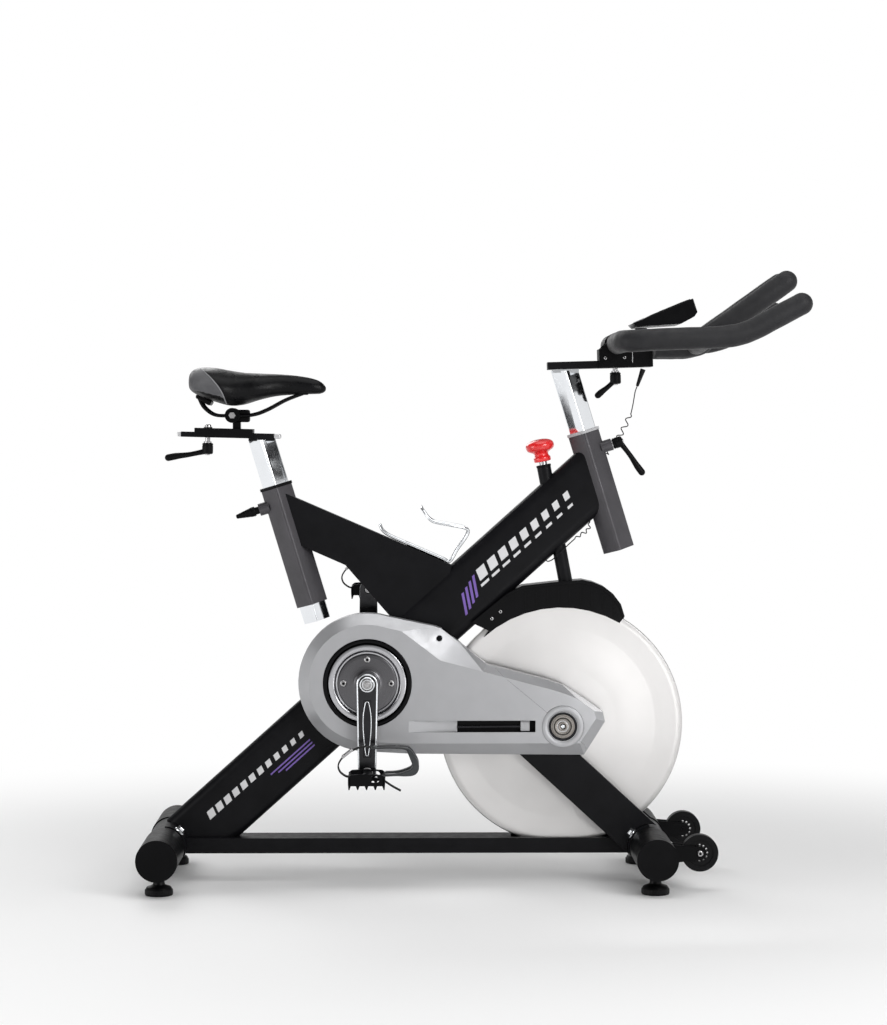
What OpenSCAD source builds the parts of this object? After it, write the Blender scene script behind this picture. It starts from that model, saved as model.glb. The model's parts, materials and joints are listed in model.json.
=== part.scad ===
// Indoor cycling bike with a belt-driven flywheel.
// +X points forward, -Y is the drive side, +Z is up. All lengths are millimetres.

/* [Base] */
// Length of each stabilizer over its end sleeves
stabilizer_len = 520; // [480:10:560]
// Outer diameter of the stabilizer tubes
stabilizer_d = 76; // [74:1:76]
// Height of the stabilizer axis above the floor
stabilizer_z = 74; // [74:1:76]
// Width of the flat rail that joins the stabilizers
rail_w = 80; // [70:1:80]
// Diameter of the levelling feet
foot_d = 55; // [45:1:60]

/* [Frame] */
// Depth of the main beam
beam_depth = 122; // [118:1:124]
// Thickness of the main beam, side to side
beam_w = 44; // [40:1:44]
// Side of the square tubes that hold the posts
sleeve_side = 48; // [48:1:50]
// Side of the square posts
post_side = 40; // [36:1:40]
// Backward lean of both posts, in degrees
post_tilt = 17; // [17:1:17]

/* [Drive] */
// Crank length, axle to axle
crank_len = 175; // [165:1:178]
// Radius of the drive pulley's belt face
drive_pulley_r = 97.5; // [90:0.5:98]
// Turns of the flywheel for one turn of the crank
drive_ratio = 3.25; // [3.2:0.05:3.6]
// Radius of the flywheel
flywheel_r = 243; // [235:1:243]
// Thickness of the flywheel at its rim
flywheel_w = 24; // [20:1:26]
// Running clearance on the radius of every shaft
running = 0.05; // [0.02:0.01:0.08]

/* [Contact points] */
// Length of the saddle
saddle_len = 273; // [260:1:280]
// Width of the saddle
saddle_w = 194; // [180:1:200]
// Radius of the foam-covered handlebar
grip_r = 21.5; // [18:0.5:21.5]
// Distance between the outer bars, centre to centre
bar_spread = 420; // [400:10:440]

/* [Hidden] */
$fn = 64;

// Places in the bike's middle plane, as [x, z]
REAR_AXIS = [-611, stabilizer_z];
FRONT_AXIS = [351, stabilizer_z];
CRANK = [-209, 400];
AXLE = [177.5, 314];
SEAT_TOP = [-391.3, 784.8];
HEAD_TOP = [222.7, 893];
CROSS_TUBE = [-78, 468];
BRAKE_TOP = [142.5, 830];
SADDLE_PIVOT = [-478, 929];
WHEEL_AXIS = [439.5, 76.5];

beam_angle = 41.9;
fork_angle = 42.6;
brake_tilt = 10.8;
wall = 3;
gap = 0.3;
stabilizer_r = stabilizer_d / 2;
stabilizer_end = stabilizer_len / 2 - 3.2;
sleeve_len = 243;
sleeve_corner = 6;
post_corner = 4;
post_bore = post_side + 0.4;
half_diagonal = sleeve_side / sqrt(2);

// Layers across the bike, as distances from its middle plane
fork_in = 42;
fork_out = 62;
belt_in = 27.5;
belt_out = 36.5;
cover_back = 25;
cover_shoulder = 65;
cover_face = 86;
arm_in = 98;
arm_out = 114;
pedal_in = 122;
pedal_out = 212;
foot_y = 200;
wheel_y = 170;
saddle_plate_out = 79;

cross_tube_r = 20;
cross_spigot_r = 10;
shell_r = 24;
spindle_r = 10;
axle_r = 8;
guide_r = 14;
rod_r = 8;
pin_r = 4;
stud_r = 5;
pedal_axle_r = 5;
flywheel_pulley_r = drive_pulley_r / drive_ratio;
belt_t = 4;

// Small vector helpers
function unit(v) = v / norm(v);
function polar(c, r, a) = [c[0] + r * cos(a), c[1] + r * sin(a)];
function arc(c, r, a0, a1, n) = [for (i = [0:n]) polar(c, r, a0 + (a1 - a0) * i / n)];
function ahead(p, a, d) = polar(p, d, a);

// A square outline with round corners, centred
function round_rect(w, h, r, n = 5) = concat(
    arc([w / 2 - r, h / 2 - r], r, 0, 90, n),
    arc([-w / 2 + r, h / 2 - r], r, 90, 180, n),
    arc([-w / 2 + r, -h / 2 + r], r, 180, 270, n),
    arc([w / 2 - r, -h / 2 + r], r, 270, 360, n));

// The corner of an anticlockwise outline, moved in by d from both of its edges
function inset_corner(a, b, c, d) =
    let (u = unit(b - a), v = unit(c - b))
    let (p = [-u[1], u[0]], q = [-v[1], v[0]])
    b + d * (p + q) / (1 + p * q);
function inset(pts, d) = let (n = len(pts))
    [for (i = [0:n - 1]) inset_corner(pts[(i + n - 1) % n], pts[i], pts[(i + 1) % n], d)];

// A smooth curve through points, with n steps between neighbours
function catmull(a, b, c, d, t) = 0.5 * (2 * b + (c - a) * t
    + (2 * a - 5 * b + 4 * c - d) * t * t + (3 * b - a - 3 * c + d) * t * t * t);
function smooth(p, n) = let (m = len(p) - 1) concat(
    [for (i = [0:m - 1], j = [0:n - 1])
        catmull(p[max(i - 1, 0)], p[i], p[i + 1], p[min(i + 2, m)], j / n)],
    [p[m]]);
function mirror_path(p) = [for (i = [len(p) - 1:-1:0]) [p[i][0], -p[i][1], p[i][2]]];

// Frames carried along a path without twist, and the rings of a tube round it
function tangent(p, i) = unit(p[min(i + 1, len(p) - 1)] - p[max(i - 1, 0)]);
function side_of(p, i, last) = let (t = tangent(p, i)) unit(last - t * (last * t));
function sides(p, i = 0, last = [0.1, 0.3, 1]) = i == len(p) ? [] :
    let (s = side_of(p, i, last)) concat([s], sides(p, i + 1, s));
function tube_rings(p, radii, n) = let (s = sides(p)) [for (i = [0:len(p) - 1])
    let (b = cross(tangent(p, i), s[i]))
    [for (k = [0:n - 1]) p[i] + radii[i] * (cos(360 * k / n) * s[i] + sin(360 * k / n) * b)]];
function flat(r, p) = [for (i = [0:len(p) - 1]) r];
function dome_path(p, r) = let (e = p[len(p) - 1], t = tangent(p, len(p) - 1))
    concat(p, [for (a = [30, 60, 85]) e + t * r * sin(a)]);
function dome_radii(p, r) = concat(flat(r, p), [for (a = [30, 60, 85]) r * cos(a)]);

// Solids
function middle(ring) = [for (p = ring) 1] * ring / len(ring);
module loft(rings) {
    n = len(rings[0]);
    m = len(rings);
    polyhedron(
        points = concat([for (r = rings) each r], [middle(rings[0]), middle(rings[m - 1])]),
        faces = [for (i = [0:n - 1]) let (j = (i + 1) % n) each concat(
            [[m * n, i, j], [m * n + 1, (m - 1) * n + j, (m - 1) * n + i]],
            [for (k = [0:m - 2]) each [[k * n + j, k * n + i, (k + 1) * n + i],
                [k * n + j, (k + 1) * n + i, (k + 1) * n + j]]])]);
}
module tube(path, r, n = 12) loft(tube_rings(path, flat(r, path), n));
module domed_tube(path, r, n = 16)
    loft(tube_rings(dome_path(path, r), dome_radii(path, r), n));
module at(p, y = 0) translate([p[0], y, p[1]]) children();
module both_sides() {
    children();
    mirror([0, 1, 0]) children();
}
module bar_y(r, y0, y1) translate([0, y0, 0]) rotate([-90, 0, 0]) cylinder(r = r, h = y1 - y0);
module ring_y(r_out, r_in, y0, y1) difference() {
    bar_y(r_out, y0, y1);
    bar_y(r_in, y0 - 1, y1 + 1);
}
module slab_y(pts, y0, y1)
    translate([0, y1, 0]) rotate([90, 0, 0]) linear_extrude(y1 - y0) polygon(pts);
module hollow_slab_y(pts, y0, y1) difference() {
    slab_y(pts, y0, y1);
    slab_y(inset(pts, wall), y0 + wall, y1 - wall);
}
module bar_x(r, x0, x1) translate([x0, 0, 0]) rotate([0, 90, 0]) cylinder(r = r, h = x1 - x0);
module box(x0, x1, y, z0, z1) translate([x0, -y, z0]) cube([x1 - x0, 2 * y, z1 - z0]);

// Local frames: z runs up a post, or x runs along the beam or a rail
module on_post(p) at(p) rotate([0, -post_tilt, 0]) children();
module on_beam() at(CRANK) rotate([0, -beam_angle, 0]) children();
module on_brake() at(BRAKE_TOP) rotate([0, -brake_tilt, 0]) children();
module on_seat_rail() at([-488, 889.6]) rotate([0, 1.4, 0]) children();
module on_bar_rail() at([254.5, 1030.6]) rotate([0, -1.67, 0]) children();

// A square bar standing on its corner, between two heights of a post frame
module diamond(side, corner, z0, z1)
    translate([0, 0, z0]) rotate([0, 0, 45]) linear_extrude(z1 - z0)
        polygon(round_rect(side, side, corner));

// ---- Frame ----
module beam_bar(shrink, s0, s1)
    on_beam() translate([s0, 0, 0]) rotate([90, 0, 90]) linear_extrude(s1 - s0)
        polygon(round_rect(beam_w - 2 * shrink, beam_depth - 2 * shrink, 20 - shrink));

module main_beam() color([0.05, 0.05, 0.06]) difference() {
    beam_bar(0, -640, 640);
    beam_bar(wall, -650, 650);
    box(-900, 0, 100, -400, stabilizer_z + 13);
    box(-900, REAR_AXIS[0], 100, 0, 400);
    at(REAR_AXIS) bar_y(stabilizer_r + 5.2, -100, 100);
    on_post(HEAD_TOP) translate([0, -100, -500]) cube([500, 200, 900]);
    on_post(HEAD_TOP) diamond(sleeve_side, sleeve_corner, -300, 50);
    at(CRANK) bar_y(shell_r, -60, 60);
    at(CROSS_TUBE) bar_y(cross_tube_r, -60, 60);
    on_brake() translate([0, 0, -300]) cylinder(r = guide_r, h = 400);
}

// Outline of the arm that carries the seat sleeve, ending inside the beam
SEAT_ARM = [[-345, 670.6], [-318.5, 659], [-253.5, 630.6], [-161.5, 525], [-125, 478],
    [-60, 560], [-40.5, 630], [-375, 774.7]];

module seat_arm() color([0.05, 0.05, 0.06]) difference() {
    hollow_slab_y(SEAT_ARM, -20, 20);
    on_post(SEAT_TOP) diamond(sleeve_side, sleeve_corner, -300, 50);
    on_post(SEAT_TOP) translate([-500, -100, -500]) cube([500, 200, 900]);
    beam_bar(0, -200, 640);
}

// One leg of the fork, from the front stabilizer up to the cross tube
fork_len = norm(FRONT_AXIS - CROSS_TUBE);
fork_depth = 80;
FORK_LEG = concat(
    arc(CROSS_TUBE, fork_depth / 2, 90 - fork_angle, 270 - fork_angle, 12),
    [ahead(ahead(CROSS_TUBE, -fork_angle, fork_len), 270 - fork_angle, fork_depth / 2),
     ahead(ahead(CROSS_TUBE, -fork_angle, fork_len), 90 - fork_angle, fork_depth / 2)]);
DROPOUT = concat(
    arc(AXLE, 24, -20, 150, 10),
    [ahead(AXLE, 180 + 38, 75), ahead(AXLE, -90, 60), ahead(AXLE, -60, 60)]);

module fork_side() difference() {
    union() {
        difference() {
            slab_y(FORK_LEG, -fork_out, -fork_in);
            slab_y(inset(FORK_LEG, wall), -fork_out + wall, -fork_in - wall);
        }
        difference() {
            slab_y(DROPOUT, -fork_in - 10, -fork_in - 2);
            slab_y(inset(FORK_LEG, 1), -100, 100);
        }
    }
    at(FRONT_AXIS) bar_y(stabilizer_r + 5.2, -100, 100);
    at(AXLE) bar_y(axle_r, -100, 0);
}

module front_fork() color([0.04, 0.04, 0.05]) {
    both_sides() fork_side();
    at(CROSS_TUBE) {
        difference() {
            bar_y(cross_tube_r, -cover_back + 1, fork_in);
            bar_y(cross_tube_r - wall, -cover_back + 1 + wall, 100);
        }
        bar_y(cross_spigot_r, -fork_in - 1, -cover_back + 2);
    }
}

pin_z = -32.5;
clamp_z = -37;

module sleeve_tube() difference() {
    diamond(sleeve_side, sleeve_corner, -sleeve_len, 0);
    diamond(sleeve_side - 5, sleeve_corner - 2.5, -sleeve_len - 1, 1);
}

// What the round bosses on the sleeves are cut back by
module sleeve_core() diamond(sleeve_side - 1, sleeve_corner, -60, 20);

module seat_sleeve() color([0.25, 0.25, 0.27]) on_post(SEAT_TOP) difference() {
    union() {
        sleeve_tube();
        translate([0, 0, pin_z]) difference() {
            bar_x(12.5, -46, -half_diagonal + 9);
            sleeve_core();
        }
    }
    translate([0, 0, pin_z]) bar_x(pin_r + running, -60, -15);
}

module head_sleeve() color([0.25, 0.25, 0.27]) on_post(HEAD_TOP) difference() {
    union() {
        sleeve_tube();
        translate([0, 0, clamp_z]) difference() {
            bar_x(12, half_diagonal - 9, 48);
            sleeve_core();
        }
    }
    translate([0, 0, clamp_z]) bar_x(stud_r + running, 15, 60);
}

// Flanged plastic bush that lines the mouth of a sleeve
bush_len = 120;
bush_flange = 6;
module bush(hole_z, hole_side) difference() {
    union() {
        diamond(sleeve_side - 5.2, sleeve_corner - 2.6, -bush_len, 0);
        diamond(sleeve_side + 3, sleeve_corner + 1, 0, bush_flange);
    }
    diamond(post_bore, post_corner, -bush_len - 1, bush_flange + 1);
    translate([0, 0, hole_z]) bar_x(stud_r + 1, hole_side < 0 ? -60 : 10, hole_side < 0 ? -10 : 60);
}

module sleeve_bushes() color([0.35, 0.35, 0.37]) {
    on_post(SEAT_TOP) bush(pin_z, -1);
    on_post(HEAD_TOP) bush(clamp_z, 1);
}

// Flat rail with a slot for the flywheel, and a curved saddle at each stabilizer
rail_z0 = 57;
rail_z1 = 87;
module rail_box(shrink) translate([REAR_AXIS[0], -rail_w / 2 + shrink, rail_z0 + shrink])
    cube([FRONT_AXIS[0] - REAR_AXIS[0], rail_w - 2 * shrink, rail_z1 - rail_z0 - 2 * shrink]);

module saddle_plate(centre, a0, a1) at(centre) intersection() {
    ring_y(stabilizer_r + 5, stabilizer_r, -saddle_plate_out, saddle_plate_out);
    slab_y(concat([[0, 0]], arc([0, 0], 90, a0, a1, 8)), -100, 100);
}

module base_rail() color([0.04, 0.04, 0.05]) difference() {
    union() {
        difference() {
            rail_box(0);
            rail_box(wall);
            at(REAR_AXIS) bar_y(stabilizer_r, -100, 100);
            at(FRONT_AXIS) bar_y(stabilizer_r, -100, 100);
        }
        saddle_plate(REAR_AXIS, -24, 88);
        saddle_plate(FRONT_AXIS, 92, 204);
    }
    box(AXLE[0] - 100, AXLE[0] + 100, 23, 70, 120);
    bolt_holes();
}

// Bolts that hold each stabilizer in its saddle
bolt_y = 70.5;
bolt_r = 5;
module bolt_places() {
    for (y = [-bolt_y, bolt_y]) {
        at(REAR_AXIS, y) rotate([0, 90 - 46.5, 0]) children();
        at(FRONT_AXIS, y) rotate([0, 90 - 144, 0]) children();
    }
}
module bolt_holes() bolt_places() translate([0, 0, 25]) cylinder(r = bolt_r, h = 40);

module stabilizer_bolts() color([0.75, 0.75, 0.77]) bolt_places() {
    translate([0, 0, 28]) cylinder(r = bolt_r, h = 22);
    translate([0, 0, stabilizer_r + 5]) cylinder(r = 8, h = 9, $fn = 6);
}

module stabilizers() color([0.04, 0.04, 0.05]) difference() {
    for (axis = [REAR_AXIS, FRONT_AXIS]) at(axis)
        ring_y(stabilizer_r, stabilizer_r - wall, -stabilizer_end, stabilizer_end);
    bolt_holes();
    foot_places() cylinder(r = stud_r + 2, h = 60);
}

// Black end sleeves: closed cups over the tube ends, the front ones with a wheel fork
cup_r = 40.5;
cup_in = 82;
module cup() difference() {
    bar_y(cup_r, -stabilizer_len / 2, -cup_in);
    bar_y(stabilizer_r, -stabilizer_len / 2 + 3, 0);
}
FORK_PLATE = concat(
    arc(WHEEL_AXIS, 13, -90, 90, 8),
    [FRONT_AXIS + [34, 20], FRONT_AXIS + [34, -16]]);
module stabilizer_end_sleeves() color([0.03, 0.03, 0.03]) difference() {
    union() {
        both_sides() {
            at(REAR_AXIS) cup();
            at(FRONT_AXIS) cup();
            difference() {
                for (y = [-wheel_y - 15, -wheel_y + 12]) slab_y(FORK_PLATE, y, y + 3);
                at(FRONT_AXIS) bar_y(cup_r - 1, -300, 0);
            }
            at(WHEEL_AXIS) bar_y(pin_r, -wheel_y - 18, -wheel_y + 18);
        }
    }
    foot_places() cylinder(r = stud_r + running, h = 60);
}

module bottom_bracket_shell() color([0.1, 0.1, 0.11])
    at(CRANK) ring_y(shell_r, 17.5, -23, 30);

module crank_bearings() color([0.7, 0.7, 0.72]) at(CRANK)
    for (y = [-22.5, 17.5]) ring_y(17.5, spindle_r + running, y, y + 12);

// ---- Drive cover ----
// The rim outline and the face outline have the same number of points
COVER_RIM = concat(
    arc(CRANK, 137, 73, 270, 30),
    [[-122.6, 258.5], [220.5, 256], [262, 322], [258, 341], [222, 366], [178.5, 394],
     [147.5, 404.5], [50.5, 430], [28.5, 435], [-26.5, 479], [-62, 506.5], [-74, 511]]);
COVER_FACE = concat(
    arc(CRANK, 116, 73, 270, 30),
    [[-122.5, 281], [211, 281], [243, 330], [239.5, 345], [206.5, 369], [176, 381],
     [147.5, 389.3], [60, 412.3], [20, 422.8], [-64.5, 445], [-100, 472], [-141.5, 503]]);
function ring_at(pts, y) = [for (p = pts) [p[0], y, p[1]]];

module cover_solid(thin) loft([
    ring_at(inset(COVER_RIM, thin), -cover_back + (thin > 0 ? 1 : 0)),
    ring_at(inset(COVER_RIM, thin), -cover_shoulder + thin / 2),
    ring_at(inset(COVER_FACE, thin), -cover_face + thin)]);

// The joint between the two cover pieces, round the axle boss
boss_r = 41.5;
seam_gap = 0.4;
SEAM = concat(
    [[45, 450], [45, 428], [61.5, 411.5]],
    [for (a = [139:-12:-41]) polar(AXLE, boss_r, a)],
    [[220, 278], [236, 240], [400, 240], [400, 450]]);

module cover_shell() difference() {
    cover_solid(0);
    cover_solid(2.5);
    at(CRANK) bar_y(88, -100, -60);
    at(AXLE) bar_y(28.5, -100, -40);
    translate([-33.8, -100, 303]) cube([157, 60, 23]);
    at([-66.5, 488]) bar_y(6, -100, -60);
    slab_y(inset(FORK_LEG, -1.5), -fork_out - 1.5, 0);
}

module drive_cover() color([0.65, 0.65, 0.67]) difference() {
    cover_shell();
    slab_y(SEAM, -120, 0);
}

module drive_cover_end() color([0.65, 0.65, 0.67]) intersection() {
    cover_shell();
    slab_y(inset(SEAM, seam_gap), -120, 0);
}

module cover_ring() color([0.03, 0.03, 0.03]) at(CRANK) ring_y(87.8, 79, -cover_face - 1, -78);

module inner_cover() color([0.06, 0.06, 0.06]) difference() {
    slab_y(inset(COVER_RIM, 4), -24.8, -23.2);
    at(CRANK) bar_y(shell_r + 1, -40, 0);
    at(CROSS_TUBE) bar_y(cross_tube_r + 1, -40, 0);
    at(AXLE) bar_y(33, -40, 0);
}

// ---- Drive train ----
module crank_spindle() color([0.6, 0.6, 0.62]) at(CRANK) {
    bar_y(spindle_r, -arm_out, arm_out);
    bar_y(14, 30, 34);
}

module crank_outline(direction) {
    tip = CRANK + [0, direction * crank_len];
    at(CRANK) bar_y(20.5, 0, arm_out - arm_in);
    at(tip) bar_y(17.5, 0, arm_out - arm_in);
    slab_y([CRANK - [direction * 20.5, 0], CRANK + [direction * 20.5, 0],
        tip + [direction * 17.5, 0], tip - [direction * 17.5, 0]], 0, arm_out - arm_in);
}

module crank_arm(y0, direction, groove_y) difference() {
    translate([0, y0, 0]) crank_outline(direction);
    at(CRANK) bar_y(spindle_r, -300, 300);
    at(CRANK + [0, direction * crank_len]) bar_y(pedal_axle_r + 2, -300, 300);
    translate([CRANK[0] - 7, groove_y, CRANK[1] + (direction > 0 ? 32 : -142)]) cube([14, 4, 110]);
}

module crank_arm_right() color([0.8, 0.8, 0.82]) crank_arm(-arm_out, -1, -arm_out - 1);
module crank_arm_left() color([0.8, 0.8, 0.82]) crank_arm(arm_in, 1, arm_out - 3);

module crank_bolts() color([0.5, 0.5, 0.52]) at(CRANK) both_sides() bar_y(11, -arm_out - 5, -arm_out);

module drive_pulley() color([0.1, 0.1, 0.1]) at(CRANK) difference() {
    union() {
        bar_y(drive_pulley_r, -belt_out - 0.5, -belt_in + 0.5);
        for (y = [-belt_out - 2, -belt_in + 0.5]) bar_y(drive_pulley_r + 5, y, y + 1.5);
    }
    bar_y(spindle_r, -60, 0);
}

module chainring_dish() color([0.75, 0.75, 0.77]) at(CRANK) difference() {
    union() {
        difference() {
            bar_y(77, -92, -82);
            bar_y(62, -100, -85);
        }
        bar_y(58, -88, -82);
        bar_y(24, -97.5, -38.6);
        for (a = [0:90:270]) rotate([0, a, 0]) translate([47, 0, 0]) bar_y(7, -91, -85);
    }
    bar_y(spindle_r, -120, 0);
}

module pedal_axles() color([0.55, 0.55, 0.57]) for (side = [-1, 1])
    at(CRANK + [0, side * crank_len]) scale([1, side, 1]) {
        bar_y(pedal_axle_r + 2, arm_in, arm_out);
        bar_y(pedal_axle_r, arm_out, pedal_out - 6);
    }

// Belt outline round both pulleys, at a distance from their faces
belt_dir = atan2(AXLE[1] - CRANK[1], AXLE[0] - CRANK[0]);
belt_lean = acos((drive_pulley_r - flywheel_pulley_r) / norm(AXLE - CRANK));
function belt_loop(d) = concat(
    arc(CRANK, drive_pulley_r + d, belt_dir + belt_lean, belt_dir + 360 - belt_lean, 60),
    arc(AXLE, flywheel_pulley_r + d, belt_dir - belt_lean, belt_dir + belt_lean, 24));

module drive_belt() color([0.02, 0.02, 0.02]) difference() {
    slab_y(belt_loop(gap + belt_t), -belt_out, -belt_in);
    slab_y(belt_loop(gap), -belt_out - 1, -belt_in + 1);
}

// Half section of the flywheel, as [radius, half thickness]
HALF_DISC = [[25, 4.5], [110, 4.5], [190, 7.5], [flywheel_r - 10, flywheel_w / 2],
    [flywheel_r - 2, flywheel_w / 2], [flywheel_r, flywheel_w / 2 - 2]];
module flywheel() color([0.9, 0.9, 0.9]) at(AXLE) rotate([90, 0, 0]) rotate_extrude($fn = 180)
    polygon(concat(HALF_DISC, [for (i = [len(HALF_DISC) - 1:-1:0]) [HALF_DISC[i][0], -HALF_DISC[i][1]]]));

module flywheel_hub() color([0.6, 0.6, 0.62]) at(AXLE) difference() {
    union() {
        bar_y(25, -belt_out - 2, 22);
        bar_y(flywheel_pulley_r, -belt_out - 0.5, -belt_in + 0.5);
    }
    bar_y(16, -60, 60);
}

module flywheel_bearings() color([0.75, 0.75, 0.77]) at(AXLE)
    for (y = [-37, 9]) ring_y(16, axle_r + running, y, y + 12);

module flywheel_axle() color([0.7, 0.7, 0.7]) at(AXLE) {
    bar_y(axle_r, -82, 70);
    bar_y(24, -82, -79);
    for (y = [-60, 52.2]) bar_y(14, y, y + 7.8);
    for (y = [-41.8, 38.8]) bar_y(11, y, y + 3);
}

// ---- Pedals ----
PEDAL_MID = (pedal_in + pedal_out) / 2;
pedal_half = 36;
module pedal_body(z) translate([CRANK[0], -PEDAL_MID, z]) difference() {
    union() {
        bar_y(11, -42, 44);
        for (y = [-44, 38]) difference() {
            translate([-pedal_half, y, -18]) cube([2 * pedal_half, 6, 28]);
            for (i = [-2:2]) translate([i * 15 - 4, y - 1, -19]) cube([8, 8, 5]);
        }
        for (x = [-pedal_half, pedal_half - 6]) translate([x, -44, -14]) cube([6, 88, 20]);
        translate([-pedal_half, -8, -8]) cube([2 * pedal_half, 16, 6]);
    }
    bar_y(pedal_axle_r + running, -40, 60);
}

// Toe cage: a band that rises from the front of the pedal and bends back over the foot
TOE_BAND = [[37, 2], [101, 2], [105, 9], [86, 58], [76, 62], [50, 60.5], [8, 60],
    [8, 56], [50, 56.5], [70, 56], [81, 46], [93, 14], [88, 8], [37, 7]];
STRAP = concat(
    [[-12, 60], [-30, 52], [-48, 40], [-57, 24], [-54, 10], [-42, 0], [-37, 0]],
    [[-37, 3], [-41, 3], [-51, 12], [-54, 24], [-45, 38], [-28, 49], [-10, 57], [8, 57], [8, 60]]);
module toe_cage(z) translate([CRANK[0], -PEDAL_MID, z]) {
    slab_y(TOE_BAND, -34, 34);
    slab_y([for (i = [len(STRAP) - 1:-1:0]) STRAP[i]], -9, 9);
}

module pedal_right() color([0.06, 0.06, 0.06]) pedal_body(CRANK[1] - crank_len);
module pedal_left() color([0.06, 0.06, 0.06]) mirror([0, 1, 0]) pedal_body(CRANK[1] + crank_len);
module toe_cage_right() color([0.1, 0.1, 0.11]) toe_cage(CRANK[1] - crank_len);
module toe_cage_left() color([0.1, 0.1, 0.11]) mirror([0, 1, 0]) toe_cage(CRANK[1] + crank_len);

// ---- Seat ----
rail_t = 10.5;
bar_rail_t = 15;
rail_half_w = 22;
jaw_in = 16;
module post_tube(z0, z1) difference() {
    diamond(post_side, post_corner, z0, z1);
    diamond(post_side - 5, post_corner - 2.5, z0 - 1, z1 - 6);
}

module seat_post() color([0.8, 0.8, 0.82]) {
    difference() {
        union() {
            difference() {
                on_post(SEAT_TOP) post_tube(-278, 130);
                box(-600, -200, 100, 880.3, 1200);
            }
            box(-446, -394, 20, 878, 888);
            on_seat_rail() box(-92, 92, rail_half_w, -rail_t / 2, rail_t / 2);
        }
        on_seat_rail() box(-73, 9, stud_r + 1.2, -20, 20);
    }
}

// A slider that wraps the top and sides of a rail
module slider(x0, x1, half_t, top) difference() {
    box(x0, x1, 32, -half_t, top);
    box(x0 - 1, x1 + 1, rail_half_w + gap, -half_t - 1, half_t + gap);
}

module seat_carriage() color([0.06, 0.06, 0.06]) {
    on_seat_rail() difference() {
        slider(-65, 51, rail_t / 2, 13.4);
        translate([-40, 0, 0]) cylinder(r = stud_r + running, h = 12.5);
    }
    box(-478, -462, 9, 901, 925);
    at(SADDLE_PIVOT) bar_y(12, -15, 15);
    at(SADDLE_PIVOT) bar_y(pin_r, -jaw_in - 2, jaw_in + 2);
}

// Clamp lever: a hub on a stud with one arm to a rounded tip
module lever(hub_r, hub_h, stud_z, tip, tip_r) {
    translate([0, 0, -hub_h / 2]) cylinder(r = hub_r, h = hub_h);
    cylinder(r = stud_r, h = stud_z);
    hull() {
        translate([0, 0, -hub_h / 4]) sphere(r = 6, $fn = 24);
        translate(tip * 0.55) sphere(r = 5, $fn = 24);
        translate(tip) sphere(r = tip_r, $fn = 24);
    }
}

module seat_lever() color([0.05, 0.05, 0.05])
    on_seat_rail() translate([-40, 0, -27.6]) lever(11, 22, 27.6 + 12, [-78, 0, -20], 7);

// Saddle sections from tail to nose: [distance from tail, half width, top, bottom]
SADDLE_TAIL = -565;
SADDLE = [[0, 0.2, 1008, 984], [0.015, 0.6, 1018, 977], [0.05, 0.84, 1025, 970],
    [0.11, 0.97, 1028, 962], [0.2, 1, 1026, 954], [0.3, 0.94, 1020, 947],
    [0.4, 0.76, 1016, 949], [0.51, 0.51, 1014.5, 958], [0.64, 0.34, 1014, 966],
    [0.78, 0.26, 1011.5, 969], [0.9, 0.23, 1006, 970], [0.965, 0.18, 999, 971], [1, 0.09, 989, 976]];
function saddle_ring(s) = let (w = s[1] * saddle_w / 2, mid = s[3] + 0.42 * (s[2] - s[3]))
    [for (a = [0:15:345]) [SADDLE_TAIL + s[0] * saddle_len, w * cos(a),
        mid + (a < 180 ? s[2] - mid : mid - s[3]) * sin(a)]];

module saddle() color([0.1, 0.1, 0.11]) loft([for (s = SADDLE) saddle_ring(s)]);

// Saddle rails: one rod each side, and the jaws that turn on the clamp pin
SADDLE_ROD = [[-335, -8, 974], [-372, -14, 960], [-410, -20, 940], [-440, -22, 930],
    [-478, -22, 929], [-512, -22, 930], [-534, -24, 945], [-545, -25, 966]];
module saddle_rails() color([0.08, 0.08, 0.08]) both_sides() {
    tube(smooth(SADDLE_ROD, 3), 3.5, 10);
    at(SADDLE_PIVOT) difference() {
        bar_y(15, -28, -jaw_in);
        bar_y(pin_r + running, -40, 0);
    }
}

module seat_pin() color([0.05, 0.05, 0.05]) on_post(SEAT_TOP) translate([0, 0, pin_z]) {
    bar_x(pin_r, -60, -half_diagonal + 5);
    bar_x(7.5, -54, -46.5);
    translate([-94, 0, 0]) rotate([0, 90, 0]) cylinder(r1 = 4.5, r2 = 9.75, h = 40);
}

// ---- Handlebar ----
module handlebar_post() color([0.8, 0.8, 0.82]) difference() {
    union() {
        difference() {
            on_post(HEAD_TOP) post_tube(-223, 170);
            box(0, 400, 100, 1018, 1400);
        }
        box(160, 212, 20, 1014, 1026);
        on_bar_rail() box(-104.5, 104.5, rail_half_w, -bar_rail_t / 2, bar_rail_t / 2);
    }
    on_bar_rail() box(4, 83, stud_r + 1.2, -20, 20);
}

REAR_BAR = [288, 1072];
module handlebar_carriage() color([0.06, 0.06, 0.07]) difference() {
    union() {
        on_bar_rail() slider(-2.5, 104.5, bar_rail_t / 2, 30.4);
        box(326, 348, 15, 1058, 1103);
    }
    on_bar_rail() translate([31, 0, 0]) cylinder(r = stud_r + running, h = 15);
    at(REAR_BAR) bar_y(grip_r + 0.1, -60, 60);
}

module handlebar_lever() color([0.05, 0.05, 0.05])
    on_bar_rail() translate([31, 0, -28]) lever(11, 23, 28 + 14, [-36, 0, -33], 6.5);

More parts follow.
